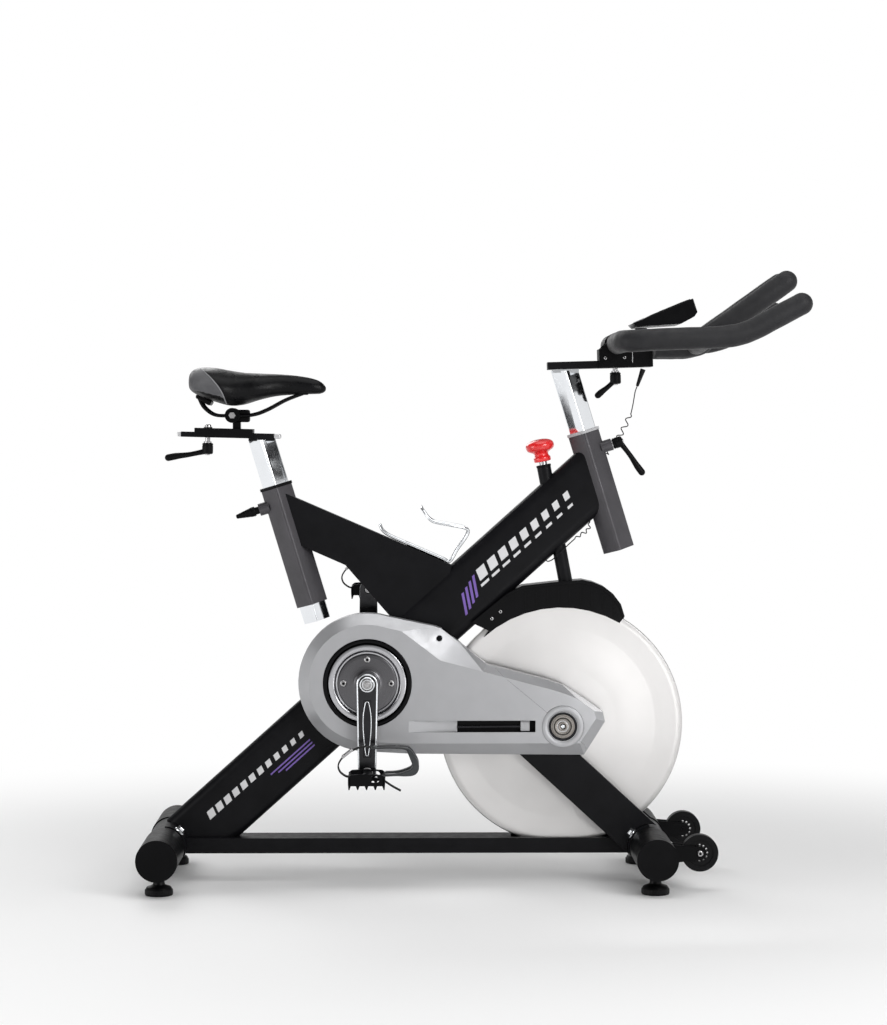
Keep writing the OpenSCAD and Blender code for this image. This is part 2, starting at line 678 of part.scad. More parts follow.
// Half of the outer bar, from the horn's tip at the rider's right to the rear bar's middle
side_y = bar_spread / 2;
OUTER_BAR = [[630, -side_y, 1143], [575, -side_y, 1114], [535, -side_y, 1093], [500, -side_y, 1082],
    [455, -side_y, 1078], [400, -side_y, 1076], [345, -side_y, 1074], [310, -side_y + 8, 1072],
    [292, -side_y + 32, 1072], [288, -side_y + 70, 1072], [288, -90, 1072], [288, 0, 1072]];
FRONT_BAR = [[446, -side_y, 1077], [442, -150, 1070], [440, -90, 1067], [440, 0, 1066]];
HORN = [[366, -44, 1064], [405, -51, 1064], [445, -56, 1068], [472, -57, 1088], [545, -56, 1140],
    [621, -55, 1194]];

module handlebar() color([0.08, 0.08, 0.09]) {
    both_sides() {
        domed_tube(smooth([for (i = [len(OUTER_BAR) - 2:-1:0]) OUTER_BAR[i]], 3), grip_r);
        domed_tube(smooth(HORN, 2), grip_r);
    }
    at(REAR_BAR) bar_y(grip_r - 1, -95, 95);
    tube(smooth(concat(FRONT_BAR, mirror_path([for (i = [0:2]) FRONT_BAR[i]])), 2), grip_r - 3, 16);
}

// Console: a wedge that faces the rider
CONSOLE = [[316.1, 1111], [323.5, 1104], [411.5, 1110], [437.5, 1124], [443.5, 1133], [434.5, 1160]];
CONSOLE_FACE = [(CONSOLE[0] + CONSOLE[5]) / 2, 22.5];
module on_console() at(CONSOLE_FACE[0]) rotate([0, -CONSOLE_FACE[1], 0]) children();
button_x = -46;
button_travel = 1;
module console() color([0.03, 0.03, 0.03]) difference() {
    slab_y(CONSOLE, -70, 70);
    on_console() translate([button_x, 0, -3]) cylinder(r = 9.3, h = 10);
}

module console_button() color([0.8, 0.2, 0.2])
    on_console() translate([button_x, 0, -3 + button_travel + 0.2]) cylinder(r = 9, h = 3.4);

module head_lever() color([0.05, 0.05, 0.05]) on_post(HEAD_TOP) translate([60, 0, clamp_z])
    rotate([0, -90, 0]) lever(11, 20, 60 - half_diagonal + 5, [-71, 0, -29], 7);

// ---- Brake ----
module brake_guide_tube() color([0.05, 0.05, 0.05]) on_brake() difference() {
    translate([0, 0, -240]) cylinder(r = guide_r, h = 240);
    translate([0, 0, -241]) cylinder(r = rod_r + running, h = 242);
}

brake_travel = 6;
pad_gap = brake_travel + gap;
rod_len = 256;
module brake_rod() color([0.7, 0.7, 0.72]) on_brake() {
    translate([0, 0, -rod_len]) cylinder(r = rod_r, h = rod_len + 30);
}

module brake_pad() color([0.15, 0.12, 0.1]) difference() {
    on_brake() translate([-34, -11, -rod_len - 30]) cube([68, 22, 30]);
    at(AXLE) bar_y(flywheel_r + pad_gap, -50, 50);
}

KNOB = [[rod_r + running, 7], [15, 7], [17, 9], [17, 16], [14, 18], [14, 24], [20, 27], [27, 32], [28.5, 38],
    [27, 44], [21, 49], [10, 52], [0, 52.5], [0, 30.5], [rod_r + running, 30.5]];
module brake_knob() color([0.85, 0.1, 0.08]) on_brake() rotate_extrude() polygon(KNOB);

// Ribbed shroud over the top of the flywheel
SHROUD = concat(
    [[-2, 516], [32, 500]],
    [for (a = [132:-8:60]) polar(AXLE, flywheel_r - 11, a)],
    [[303.5, 529], [296, 553], [280, 574], [262, 588], [240, 597], [219.5, 601.5],
     [171.5, 598], [99.5, 590], [70, 575]]);
module brake_shroud() color([0.03, 0.03, 0.03]) difference() {
    slab_y([for (i = [len(SHROUD) - 1:-1:0]) SHROUD[i]], -28, 28);
    at(AXLE) bar_y(flywheel_r + 8, -18, 18);
    intersection() {
        at(AXLE) bar_y(flywheel_r + 34, -18, 18);
        on_brake() translate([-42, -20, -320]) cube([84, 40, 150]);
    }
    on_brake() translate([0, 0, -260]) cylinder(r = guide_r + 0.2, h = 200);
    beam_bar(-0.4, -200, 640);
}

// ---- Accessories ----
arm_slope = -0.432;
function arm_top(x) = 765 + arm_slope * (x + 353) + 5.2;
CAGE_SIDE = [[-184, -9, 710], [-178, -13, arm_top(-178) + 4], [-160, -14, arm_top(-160)],
    [-110, -14, arm_top(-110)], [-60, -14, arm_top(-60)], [-45, -15, 638], [-30, -18, 662],
    [-9, -24, 694], [-16, -31, 705], [-45, -38, 711], [-80, -38, 719], [-97, -26, 738], [-102, 0, 747]];
module bottle_cage() color([0.8, 0.8, 0.8])
    tube(smooth(concat(CAGE_SIDE, mirror_path([for (i = [0:len(CAGE_SIDE) - 2]) CAGE_SIDE[i]])), 3), 3, 8);

// Routes of the two cords
wire_r = 1.2;
console_coil_r = 6.2;
sensor_coil_r = 4;
plug_tilt = atan2(4, 11.5);
CONSOLE_WIRE = [[331.5, 20, 988], [327.5, 20, 976.5], [325, 20, 962], [322.5, 20, 948],
    [319.5, 20, 934]];
CONSOLE_COIL = [[319.5, 20, 934], [312, 20, 918], [303, 21, 900], [294, 22, 884],
    [284, 22, 869], [274, 20, 857], [268, 18, 851]];
CONSOLE_END = [[268, 18, 851], [265, 16, 848.5], [263.4, 13.9, 846.5]];
module console_cord() color([0.02, 0.02, 0.02]) {
    tube(CONSOLE_WIRE, wire_r, 8);
    tube(CONSOLE_COIL, console_coil_r, 10);
    tube(CONSOLE_END, wire_r, 8);
}

SENSOR_COIL = [[234, -17, 719], [233, -17, 706], [226, -18, 697], [214, -19, 690], [203, -20, 682]];
SENSOR_WIRE = [[203, -20, 682], [188, -20, 668], [172, -20, 652], [159, -19, 641],
    [150, -18, 638], [146, -17, 642]];
module sensor_cord() color([0.02, 0.02, 0.02]) {
    difference() {
        tube(SENSOR_COIL, sensor_coil_r, 10);
        beam_bar(-0.1, -200, 640);
    }
    difference() {
        tube(SENSOR_WIRE, wire_r, 8);
        beam_bar(-0.1, -200, 640);
    }
}

module console_plug() color([0.02, 0.02, 0.02]) {
    translate(CONSOLE_WIRE[0]) rotate([0, plug_tilt, 0]) cylinder(r1 = 3, r2 = 5.5, h = 36);
}

// ---- Wheels and feet ----
module transport_wheel(y) at(WHEEL_AXIS, y) difference() {
    bar_y(36, -11, 11);
    for (side = [-1, 1]) scale([1, side, 1]) ring_y(26, 9, 8, 12);
    bar_y(pin_r + running, -20, 20);
    for (a = [0:30:330]) rotate([0, a, 0]) translate([15, 0, 0]) bar_y(2.4, -20, 20);
}
module transport_wheel_right() color([0.07, 0.07, 0.07]) transport_wheel(-wheel_y);
module transport_wheel_left() color([0.07, 0.07, 0.07]) transport_wheel(wheel_y);

module foot_places() for (x = [REAR_AXIS[0], FRONT_AXIS[0]], y = [-foot_y, foot_y])
    translate([x, y, 0]) children();
foot_h = 21;
foot_top = stabilizer_z - cup_r - gap;
module foot(x, y) translate([x, y, 0]) {
    rotate_extrude() polygon([[0, 0], [foot_d / 2 - 2, 0], [foot_d / 2, 2], [foot_d / 2, 12],
        [foot_d / 2 - 4, 17], [12, foot_h], [11, foot_top], [0, foot_top]]);
    cylinder(r = stud_r, h = 60);
}
module foot_rear_right() color([0.03, 0.03, 0.03]) foot(REAR_AXIS[0], -foot_y);
module foot_rear_left() color([0.03, 0.03, 0.03]) foot(REAR_AXIS[0], foot_y);
module foot_front_right() color([0.03, 0.03, 0.03]) foot(FRONT_AXIS[0], -foot_y);
module foot_front_left() color([0.03, 0.03, 0.03]) foot(FRONT_AXIS[0], foot_y);

main_beam();
seat_arm();
front_fork();
seat_sleeve();
head_sleeve();
sleeve_bushes();
base_rail();
stabilizers();
stabilizer_end_sleeves();
stabilizer_bolts();
bottom_bracket_shell();
crank_bearings();
drive_cover();
drive_cover_end();
cover_ring();
inner_cover();
flywheel_axle();
drive_belt();
brake_guide_tube();
brake_shroud();
bottle_cage();
console_cord();
sensor_cord();
crank_spindle();
crank_arm_right();
crank_arm_left();
crank_bolts();
drive_pulley();
chainring_dish();
pedal_axles();
flywheel();
flywheel_hub();
flywheel_bearings();
pedal_right();
toe_cage_right();
pedal_left();
toe_cage_left();
seat_post();
seat_carriage();
seat_lever();
saddle();
saddle_rails();
handlebar_post();
console_plug();
handlebar_carriage();
handlebar_lever();
handlebar();
console();
console_button();
head_lever();
seat_pin();
brake_rod();
brake_pad();
brake_knob();
transport_wheel_right();
transport_wheel_left();
foot_rear_right();
foot_rear_left();
foot_front_right();
foot_front_left();
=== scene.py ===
"""Looks of the indoor cycling bike: materials, detailed pieces and light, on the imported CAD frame."""

import json
import math

import bmesh
import bpy
import numpy as np
from mathutils import Matrix, Vector
from mathutils.bvhtree import BVHTree

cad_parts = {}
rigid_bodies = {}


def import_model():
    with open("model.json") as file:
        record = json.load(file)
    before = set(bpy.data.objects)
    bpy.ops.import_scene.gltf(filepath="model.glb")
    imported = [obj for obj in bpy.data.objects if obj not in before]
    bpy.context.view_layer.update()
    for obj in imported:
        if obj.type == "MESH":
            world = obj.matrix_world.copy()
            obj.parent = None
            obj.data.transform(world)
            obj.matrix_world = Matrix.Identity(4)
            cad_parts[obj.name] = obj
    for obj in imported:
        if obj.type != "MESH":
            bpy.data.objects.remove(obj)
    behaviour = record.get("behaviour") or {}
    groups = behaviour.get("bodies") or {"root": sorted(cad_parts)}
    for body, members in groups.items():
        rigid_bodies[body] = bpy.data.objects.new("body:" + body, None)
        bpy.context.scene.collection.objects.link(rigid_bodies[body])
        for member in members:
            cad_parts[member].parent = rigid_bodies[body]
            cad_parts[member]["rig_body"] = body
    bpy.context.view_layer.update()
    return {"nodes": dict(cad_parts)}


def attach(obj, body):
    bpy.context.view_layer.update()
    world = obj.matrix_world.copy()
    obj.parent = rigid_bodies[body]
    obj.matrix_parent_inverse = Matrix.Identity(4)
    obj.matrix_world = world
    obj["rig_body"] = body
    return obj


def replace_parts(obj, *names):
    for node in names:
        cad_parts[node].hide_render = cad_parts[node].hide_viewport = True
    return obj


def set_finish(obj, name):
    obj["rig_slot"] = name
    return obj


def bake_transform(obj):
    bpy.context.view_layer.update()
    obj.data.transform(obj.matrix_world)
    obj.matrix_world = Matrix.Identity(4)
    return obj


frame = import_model()

# ---------------------------------------------------------------- places, as in part.scad (mm)
MM = 0.001
CRANK = (-209, 400)
AXLE = (177.5, 314)
REAR_AXIS = (-611, 74)
FRONT_AXIS = (351, 74)
SEAT_TOP = (-391.3, 784.8)
HEAD_TOP = (222.7, 893)
CROSS_TUBE = (-78, 468)
BRAKE_TOP = (142.5, 830)
SADDLE_PIVOT = (-478, 929)
WHEEL_AXIS = (439.5, 76.5)
SEAT_RAIL = (-488, 889.6)
BAR_RAIL = (254.5, 1030.6)
CONSOLE_FACE = (375.3, 1135.5)
POST_TILT = 17
BEAM_ANGLE = 41.9
BRAKE_TILT = 10.8
SEAT_RAIL_TILT = -1.4
BAR_RAIL_TILT = 1.67
CONSOLE_TILT = 22.5
CRANK_LEN = 175
PEDAL_MID = 167
FLYWHEEL_R = 243
GRIP_R = 21.5
BEAM_SIDE = 22
COVER_FACE = 86
FOOT_Y = 200
WHEEL_Y = 170


# ---------------------------------------------------------------- small helpers
def spot(place, y=0.0):
    """A point of the bike's middle plane, moved sideways by y."""
    return Vector((place[0], y, place[1]))


def move(x, y, z):
    return Matrix.Translation((x, y, z))


def spun(angle, axis):
    return Matrix.Rotation(math.radians(angle), 4, axis)


def local(place, tilt=0.0, y=0.0):
    """The frame of a tilted part: its x axis is turned up by tilt degrees from the bike's own."""
    return Matrix.Translation(spot(place, y)) @ spun(-tilt, "Y")


def polar(place, radius, angle):
    """The point of the middle plane at an angle in degrees round a place."""
    a = math.radians(angle)
    return (place[0] + radius * math.cos(a), place[1] + radius * math.sin(a))


def arc(place, radius, start, end, steps):
    return [polar(place, radius, start + (end - start) * i / steps) for i in range(steps + 1)]


def smooth_path(points, steps):
    """A Catmull-Rom curve through the points, with steps between neighbours."""
    pts = [Vector(p) for p in points]
    last = len(pts) - 1
    made = []
    for i in range(last):
        a, b, c, d = pts[max(i - 1, 0)], pts[i], pts[i + 1], pts[min(i + 2, last)]
        for j in range(steps):
            t = j / steps
            straight = 2 * b + (c - a) * t
            bent = straight + (2 * a - 5 * b + 4 * c - d) * t * t
            made.append(0.5 * (bent + (3 * b - a - 3 * c + d) * t**3))
    made.append(pts[last])
    return made


def mirrored(points):
    """The same points on the other side of the bike, in the other order."""
    return [(p[0], -p[1], p[2]) for p in reversed(points)]


def make(name, verts, faces, finish, body, sharp=35.0):
    """A mesh piece from points in mm, with a finish given by its name, riding on a body."""
    mesh = bpy.data.meshes.new(name)
    mesh.from_pydata([Vector(v) * MM for v in verts], [], faces)
    mesh.validate()
    mesh.materials.append(FINISHES[finish])
    mesh.shade_smooth()
    mesh.set_sharp_from_angle(angle=math.radians(sharp))
    obj = bpy.data.objects.new(name, mesh)
    bpy.context.scene.collection.objects.link(obj)
    if body is not None:
        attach(obj, body)
    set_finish(obj, SLOTS.get(finish, finish))
    return obj


def bevelled(obj, width, segments=2, angle=35.0):
    """Rounds a piece's edges, width in mm."""
    rounded = obj.modifiers.new("edge", "BEVEL")
    rounded.width = width * MM
    rounded.segments = segments
    rounded.limit_method = "ANGLE"
    rounded.angle_limit = math.radians(angle)
    rounded.harden_normals = True
    rounded.use_clamp_overlap = True
    return obj


def ring_faces(rings, around):
    """Quads between rings of points, with an end face at each end."""
    faces = []
    for k in range(rings - 1):
        a, b = k * around, (k + 1) * around
        for i in range(around):
            j = (i + 1) % around
            faces.append((a + i, a + j, b + j, b + i))
    faces.append(tuple(reversed(range(around))))
    faces.append(tuple(range((rings - 1) * around, rings * around)))
    return faces


def frames_along(path):
    """Two side directions at each point of a path, carried along it without twist."""
    pts = [Vector(p) for p in path]
    side = Vector((0.13, 0.31, 1.0))
    made = []
    for i in range(len(pts)):
        t = (pts[min(i + 1, len(pts) - 1)] - pts[max(i - 1, 0)]).normalized()
        side = (side - t * side.dot(t)).normalized()
        made.append((side.copy(), t.cross(side)))
    return made


def sweep_mesh(path, radii, around):
    """Points and faces of a round tube along a path."""
    verts = []
    for p, r, (u, v) in zip(path, radii, frames_along(path)):
        for k in range(around):
            a = 2 * math.pi * k / around
            verts.append(Vector(p) + r * (math.cos(a) * u + math.sin(a) * v))
    return verts, ring_faces(len(path), around)


def domed(path, radius, both=True):
    """A path and its radii with a round end at its last point, or at both."""
    pts = [Vector(p) for p in path]
    radii = [radius] * len(pts)
    turn = [math.radians(a) for a in (15, 30, 45, 60, 75, 86)]
    tip = (pts[-1] - pts[-2]).normalized()
    tail = (pts[0] - pts[1]).normalized()
    ends = [pts[-1] + tip * radius * math.sin(a) for a in turn]
    starts = [pts[0] + tail * radius * math.sin(a) for a in reversed(turn)] if both else []
    caps = [radius * math.cos(a) for a in turn]
    return starts + pts + ends, (caps[::-1] if both else []) + radii + caps


def tube(name, path, radius, finish, body, around=16, round_ends=True):
    """A round rod along a path."""
    if round_ends:
        pts, radii = domed(path, radius)
    else:
        pts, radii = list(path), [radius] * len(path)
    verts, faces = sweep_mesh(pts, radii, around)
    return make(name, verts, faces, finish, body, 50)


def closed(profile):
    return profile + [profile[0]]


def lathe(name, profile, place, finish, body, around=96, sharp=30.0):
    """A turned piece: a profile of (radius, height) about the z axis of a frame."""
    verts = []
    for i in range(around):
        a = 2 * math.pi * i / around
        for r, h in profile:
            verts.append(place @ Vector((max(r, 0.01) * math.cos(a), max(r, 0.01) * math.sin(a), h)))
    n = len(profile)
    faces = []
    for i in range(around):
        j = (i + 1) % around
        for k in range(n - 1):
            faces.append((i * n + k, j * n + k, j * n + k + 1, i * n + k + 1))
    if profile[0] == profile[-1]:
        faces = [tuple(v - v % n if v % n == n - 1 else v for v in face) for face in faces]
    else:
        faces.append(tuple(i * n for i in range(around)))
        faces.append(tuple(i * n + n - 1 for i in range(around)))
    obj = make(name, verts, faces, finish, body, sharp)
    fix_normals(obj)
    return obj


def facing(place, side):
    """A frame whose z axis points out of the bike, to the drive side at -1 and to the far side at 1."""
    return Matrix.Translation(spot(place)) @ spun(90 * -side, "X")


def rect(x0, z0, x1, z1):
    return [(x0, z0), (x1, z0), (x1, z1), (x0, z1)]


def slab_mesh(outline, y0, y1):
    """Points and faces of an outline in x and z, made thick from y0 to y1."""
    n = len(outline)
    verts = [(x, y0, z) for x, z in outline] + [(x, y1, z) for x, z in outline]
    faces = [tuple(range(n)), tuple(reversed(range(n, 2 * n)))]
    for i in range(n):
        j = (i + 1) % n
        faces.append((j, i, n + i, n + j))
    return verts, faces


def slab(name, outline, y0, y1, finish, body, edge=0.8, place=None):
    """A plate with rounded edges, its outline in the middle plane or in a frame's own x and z."""
    verts, faces = slab_mesh(outline, y0, y1)
    if place is not None:
        verts = [place @ Vector(v) for v in verts]
    obj = make(name, verts, faces, finish, body, 60)
    fix_normals(obj)
    return bevelled(obj, edge) if edge else obj


def fix_normals(obj):
    """Turns all faces of a closed mesh outward, and drops points that no face uses."""
    work = bmesh.new()
    work.from_mesh(obj.data)
    bmesh.ops.delete(work, geom=[v for v in work.verts if not v.link_faces], context="VERTS")
    bmesh.ops.recalc_face_normals(work, faces=work.faces)
    work.to_mesh(obj.data)
    work.free()


def brick(name, size, place, finish, body, edge=0.8):
    """A rounded block of the given size about a frame's origin."""
    x, y, z = (s / 2 for s in size)
    return slab(name, rect(-x, -z, x, z), -y, y, finish, body, edge, place)


def joined(name, objs):
    """Makes one piece of several, with their modifiers applied."""
    graph = bpy.context.evaluated_depsgraph_get()
    work = bmesh.new()
    finishes = []
    for o in objs:
        part = bpy.data.meshes.new_from_object(o.evaluated_get(graph))
        for material in part.materials:
            if material not in finishes:
                finishes.append(material)
        index = [finishes.index(m) for m in part.materials]
        first = len(work.faces)
        work.from_mesh(part)
        work.faces.ensure_lookup_table()
        for face in work.faces[first:]:
            face.material_index = index[face.material_index] if index else 0
        bpy.data.meshes.remove(part)
    mesh = bpy.data.meshes.new(name)
    work.to_mesh(mesh)
    work.free()
    for material in finishes:
        mesh.materials.append(material)
    body = objs[0]["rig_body"]
    slot = objs[0]["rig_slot"]
    for o in objs:
        bpy.data.objects.remove(o)
    mesh.set_sharp_from_angle(angle=math.radians(38))
    whole = bpy.data.objects.new(name, mesh)
    bpy.context.scene.collection.objects.link(whole)
    even = whole.modifiers.new("even", "WEIGHTED_NORMAL")
    even.keep_sharp = True
    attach(whole, body)
    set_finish(whole, slot)
    return whole


# ---------------------------------------------------------------- materials
FINISHES = {}


def nodes_of(name):
    """A new finish under its name: its material, node tree, shader and object coordinates."""
    made = bpy.data.materials.new(name)
    FINISHES[name] = made
    made.use_nodes = True
    tree = made.node_tree
    shader = tree.nodes["Principled BSDF"]
    coords = tree.nodes.new("ShaderNodeTexCoord").outputs["Object"]
    return made, tree, shader, coords


def fill_in(node, **values):
    """Sets a node's inputs by name, an underscore standing for a space."""
    for word, value in values.items():
        node.inputs[word.replace("_", " ")].default_value = value


def add_node(tree, kind, **values):
    made = tree.nodes.new(kind)
    fill_in(made, **values)
    return made


def noise(tree, coords, scale, detail=3.0, stretch=(1, 1, 1)):
    """A noise texture, its scale in cells per metre, stretched along some axes."""
    mapping = add_node(tree, "ShaderNodeMapping", Scale=stretch)
    texture = add_node(tree, "ShaderNodeTexNoise", Scale=scale, Detail=detail)
    tree.links.new(coords, mapping.inputs["Vector"])
    tree.links.new(mapping.outputs["Vector"], texture.inputs["Vector"])
    return texture.outputs["Fac"]


def cells(tree, coords, scale, feature="F1"):
    """A cell texture, as in leather grain or foam."""
    texture = add_node(tree, "ShaderNodeTexVoronoi", Scale=scale)
    texture.feature = feature
    tree.links.new(coords, texture.inputs["Vector"])
    return texture.outputs["Distance"]


def colour_ramp(tree, factor, low, high, start=0.3, end=0.7):
    """Colour from a factor, between two colours."""
    ramp = tree.nodes.new("ShaderNodeValToRGB")
    ramp.color_ramp.elements[0].position = start
    ramp.color_ramp.elements[0].color = (*low, 1)
    ramp.color_ramp.elements[1].position = end
    ramp.color_ramp.elements[1].color = (*high, 1)
    tree.links.new(factor, ramp.inputs["Fac"])
    return ramp.outputs["Color"]


def to_range(tree, factor, low, high):
    """A factor of about 0.3 to 0.7 spread over a range."""
    spread = add_node(tree, "ShaderNodeMapRange", From_Min=0.3, From_Max=0.7, To_Min=low, To_Max=high)
    tree.links.new(factor, spread.inputs["Value"])
    return spread.outputs["Result"]


def bump(tree, shader, height, strength, distance, before=None):
    """Relief from a height, on top of an earlier relief if one is given."""
    relief = add_node(tree, "ShaderNodeBump", Strength=strength, Distance=distance)
    tree.links.new(height, relief.inputs["Height"])
    if before is not None:
        tree.links.new(before, relief.inputs["Normal"])
    tree.links.new(relief.outputs["Normal"], shader.inputs["Normal"])
    return relief.outputs["Normal"]


def surface(
    name, colour, roughness, metallic=0.0, vary=0.12, rough_vary=0.06, grain=900.0,
    depth=0.12, specular=0.5, coat=0.0, coat_rough=0.1, sheen=0.0, cloud=28.0, stretch=(1, 1, 1),
):
    """A surface with cloudy colour and gloss, and a fine relief."""
    made, tree, shader, coords = nodes_of(name)
    low = tuple(c * (1 - vary) for c in colour)
    high = tuple(min(1.0, c * (1 + vary)) for c in colour)
    clouds = noise(tree, coords, cloud, 5.0, stretch)
    tree.links.new(colour_ramp(tree, clouds, low, high), shader.inputs["Base Color"])
    smudges = noise(tree, coords, cloud * 2.3, 4.0, stretch)
    gloss = to_range(tree, smudges, max(0.02, roughness - rough_vary), min(1.0, roughness + rough_vary))
    tree.links.new(gloss, shader.inputs["Roughness"])
    fill_in(shader, Metallic=metallic, Specular_IOR_Level=specular, Sheen_Weight=sheen)
    fill_in(shader, Coat_Weight=coat, Coat_Roughness=coat_rough)
    bump(tree, shader, noise(tree, coords, grain, 2.0, stretch), depth, 0.0004)
    return made


def foam_material():
    """Closed-cell foam rubber: fine pores under a soft sheen."""
    made, tree, shader, coords = nodes_of("foam_grip")
    clouds = noise(tree, coords, 22, 5)
    colour = colour_ramp(tree, clouds, (0.0065, 0.0065, 0.008), (0.0115, 0.0115, 0.0135))
    tree.links.new(colour, shader.inputs["Base Color"])
    tree.links.new(to_range(tree, noise(tree, coords, 60, 3), 0.5, 0.66), shader.inputs["Roughness"])
    fill_in(shader, Specular_IOR_Level=0.36, Sheen_Weight=0.07, Sheen_Roughness=0.4)
    first = bump(tree, shader, cells(tree, coords, 1400), 0.35, 0.0004)
    bump(tree, shader, noise(tree, coords, 130, 3), 0.18, 0.0012, first)
    return made


def vinyl_material(name, low, high, roughness):
    """Upholstery vinyl with a pebbled grain."""
    made, tree, shader, coords = nodes_of(name)
    tree.links.new(colour_ramp(tree, noise(tree, coords, 30, 5), low, high), shader.inputs["Base Color"])
    gloss = to_range(tree, noise(tree, coords, 90, 3), roughness - 0.05, roughness + 0.08)
    tree.links.new(gloss, shader.inputs["Roughness"])
    fill_in(shader, Specular_IOR_Level=0.12)
    first = bump(tree, shader, cells(tree, coords, 620, "DISTANCE_TO_EDGE"), 0.32, 0.0005)
    bump(tree, shader, noise(tree, coords, 70, 4), 0.12, 0.002, first)
    return made


def turned_metal(name, place, colour, roughness, lines, depth):
    """Metal turned on a lathe: fine rings round an axis across the bike."""
    made, tree, shader, coords = nodes_of(name)
    centre = add_node(tree, "ShaderNodeMapping", Location=(-place[0] * MM, 0, -place[1] * MM))
    flat = tree.nodes.new("ShaderNodeVectorMath")
    flat.operation = "MULTIPLY"
    flat.inputs[1].default_value = (1, 0, 1)
    length = tree.nodes.new("ShaderNodeVectorMath")
    length.operation = "LENGTH"
    combine = tree.nodes.new("ShaderNodeCombineXYZ")
    for start, end in (
        (coords, centre.inputs["Vector"]), (centre.outputs["Vector"], flat.inputs[0]),
        (flat.outputs["Vector"], length.inputs[0]), (length.outputs["Value"], combine.inputs["X"]),
    ):
        tree.links.new(start, end)
    rings = noise(tree, combine.outputs["Vector"], lines, 2.0)
    low = tuple(c * 0.94 for c in colour)
    tree.links.new(colour_ramp(tree, noise(tree, coords, 9, 3), low, colour), shader.inputs["Base Color"])
    tree.links.new(to_range(tree, rings, roughness - 0.03, roughness + 0.05), shader.inputs["Roughness"])
    fill_in(shader, Metallic=1.0)
    bump(tree, shader, rings, depth, 0.0001)
    return made


surface("frame_black", (0.005, 0.005, 0.006), 0.38, vary=0.2, grain=1300, depth=0.08, specular=0.1,
        coat=0.02, coat_rough=0.15)
surface("sleeve_grey", (0.055, 0.052, 0.058), 0.42, metallic=0.35, grain=1500, depth=0.12, coat=0.12,
        coat_rough=0.25)
surface("cover_silver", (0.405, 0.407, 0.42), 0.38, metallic=0.5, vary=0.025, grain=1800, depth=0.06,
        specular=0.5, coat=0.3, coat_rough=0.16)
surface("black_plastic", (0.003, 0.003, 0.0035), 0.4, vary=0.2, grain=1700, depth=0.25, specular=0.09)
surface("gloss_black", (0.002, 0.002, 0.0025), 0.18, vary=0.2, grain=500, depth=0.04, specular=0.1,
        coat=0.03)
surface("bush_grey", (0.42, 0.42, 0.43), 0.42, vary=0.08, grain=1500, depth=0.18)
surface("chrome", (0.84, 0.86, 0.885), 0.09, metallic=1.0, vary=0.03, rough_vary=0.02, grain=300,
        depth=0.015)
surface("steel", (0.46, 0.455, 0.46), 0.26, metallic=1.0, vary=0.08, grain=1400, depth=0.1)
surface("crank_alloy", (0.035, 0.035, 0.037), 0.16, metallic=0.9, vary=0.1, grain=500, depth=0.03)
surface("belt_rubber", (0.01, 0.01, 0.01), 0.55, grain=1200, depth=0.3, specular=0.35)
surface("red_knob", (0.72, 0.018, 0.02), 0.22, vary=0.12, grain=900, depth=0.05, coat=0.4, coat_rough=0.08)
surface("brake_felt", (0.08, 0.06, 0.045), 0.9, vary=0.3, grain=2200, depth=0.7, sheen=0.4)
surface("cord_black", (0.005, 0.005, 0.006), 0.42, grain=1600, depth=0.15, specular=0.2)
surface("wheel_black", (0.0035, 0.0035, 0.004), 0.36, vary=0.2, grain=1300, depth=0.2, specular=0.14)
turned_metal("flywheel_chrome", AXLE, (0.62, 0.61, 0.604), 0.34, 700, 0.04)
foam_material()
vinyl_material("saddle_vinyl", (0.0018, 0.0018, 0.0022), (0.0036, 0.0036, 0.0044), 0.3)
vinyl_material("grey_vinyl", (0.075, 0.075, 0.08), (0.125, 0.125, 0.13), 0.46)
surface("piping", (0.2, 0.2, 0.21), 0.4, grain=1300, depth=0.25)
turned_metal("dish_chrome", CRANK, (0.5, 0.5, 0.52), 0.2, 1200, 0.08)
turned_metal("dish_dark", CRANK, (0.13, 0.128, 0.135), 0.27, 1200, 0.1)
turned_metal("axle_steel", AXLE, (0.25, 0.232, 0.215), 0.26, 1100, 0.12)
surface("pale_alloy", (0.6, 0.6, 0.61), 0.34, metallic=0.7, grain=900, depth=0.12)
surface("white_print", (0.6, 0.6, 0.61), 0.4, vary=0.05, grain=1500, depth=0.08)
surface("violet_print", (0.16, 0.09, 0.36), 0.4, vary=0.08, grain=1500, depth=0.08)
surface("toe_grey", (0.03, 0.032, 0.034), 0.36, vary=0.15, grain=1500, depth=0.2, specular=0.45)
surface("screen_glass", (0.012, 0.014, 0.013), 0.08, grain=200, depth=0.02, coat=0.5, coat_rough=0.03)
surface("screen_grey", (0.16, 0.185, 0.16), 0.3, vary=0.06, grain=700, depth=0.04)
surface("dark_steel", (0.03, 0.03, 0.033), 0.3, metallic=0.9, grain=1300, depth=0.15)

# The slot of each finish whose slot has another name
SLOTS = {
    "piping": "saddle_vinyl", "dish_chrome": "chrome", "dish_dark": "chrome", "axle_steel": "steel",
    "pale_alloy": "chrome", "white_print": "cover_silver", "violet_print": "cover_silver",
    "toe_grey": "black_plastic", "screen_glass": "gloss_black", "screen_grey": "gloss_black",
    "dark_steel": "steel",
}


# ---------------------------------------------------------------- camera and cords
def add_camera():
    """The photograph's view: far back on the drive side, turned a little right and down."""
    data = bpy.data.cameras.new("camera")
    data.lens = 100.1
    data.sensor_width = 36
    data.clip_end = 200
    cam = bpy.data.objects.new("camera", data)
    cam.location = (-0.1325, -5.7, 0.9)
    cam.rotation_euler = (math.radians(90 - 1.658), 0, math.radians(-0.754))
    bpy.context.scene.collection.objects.link(cam)
    bpy.context.scene.camera = cam


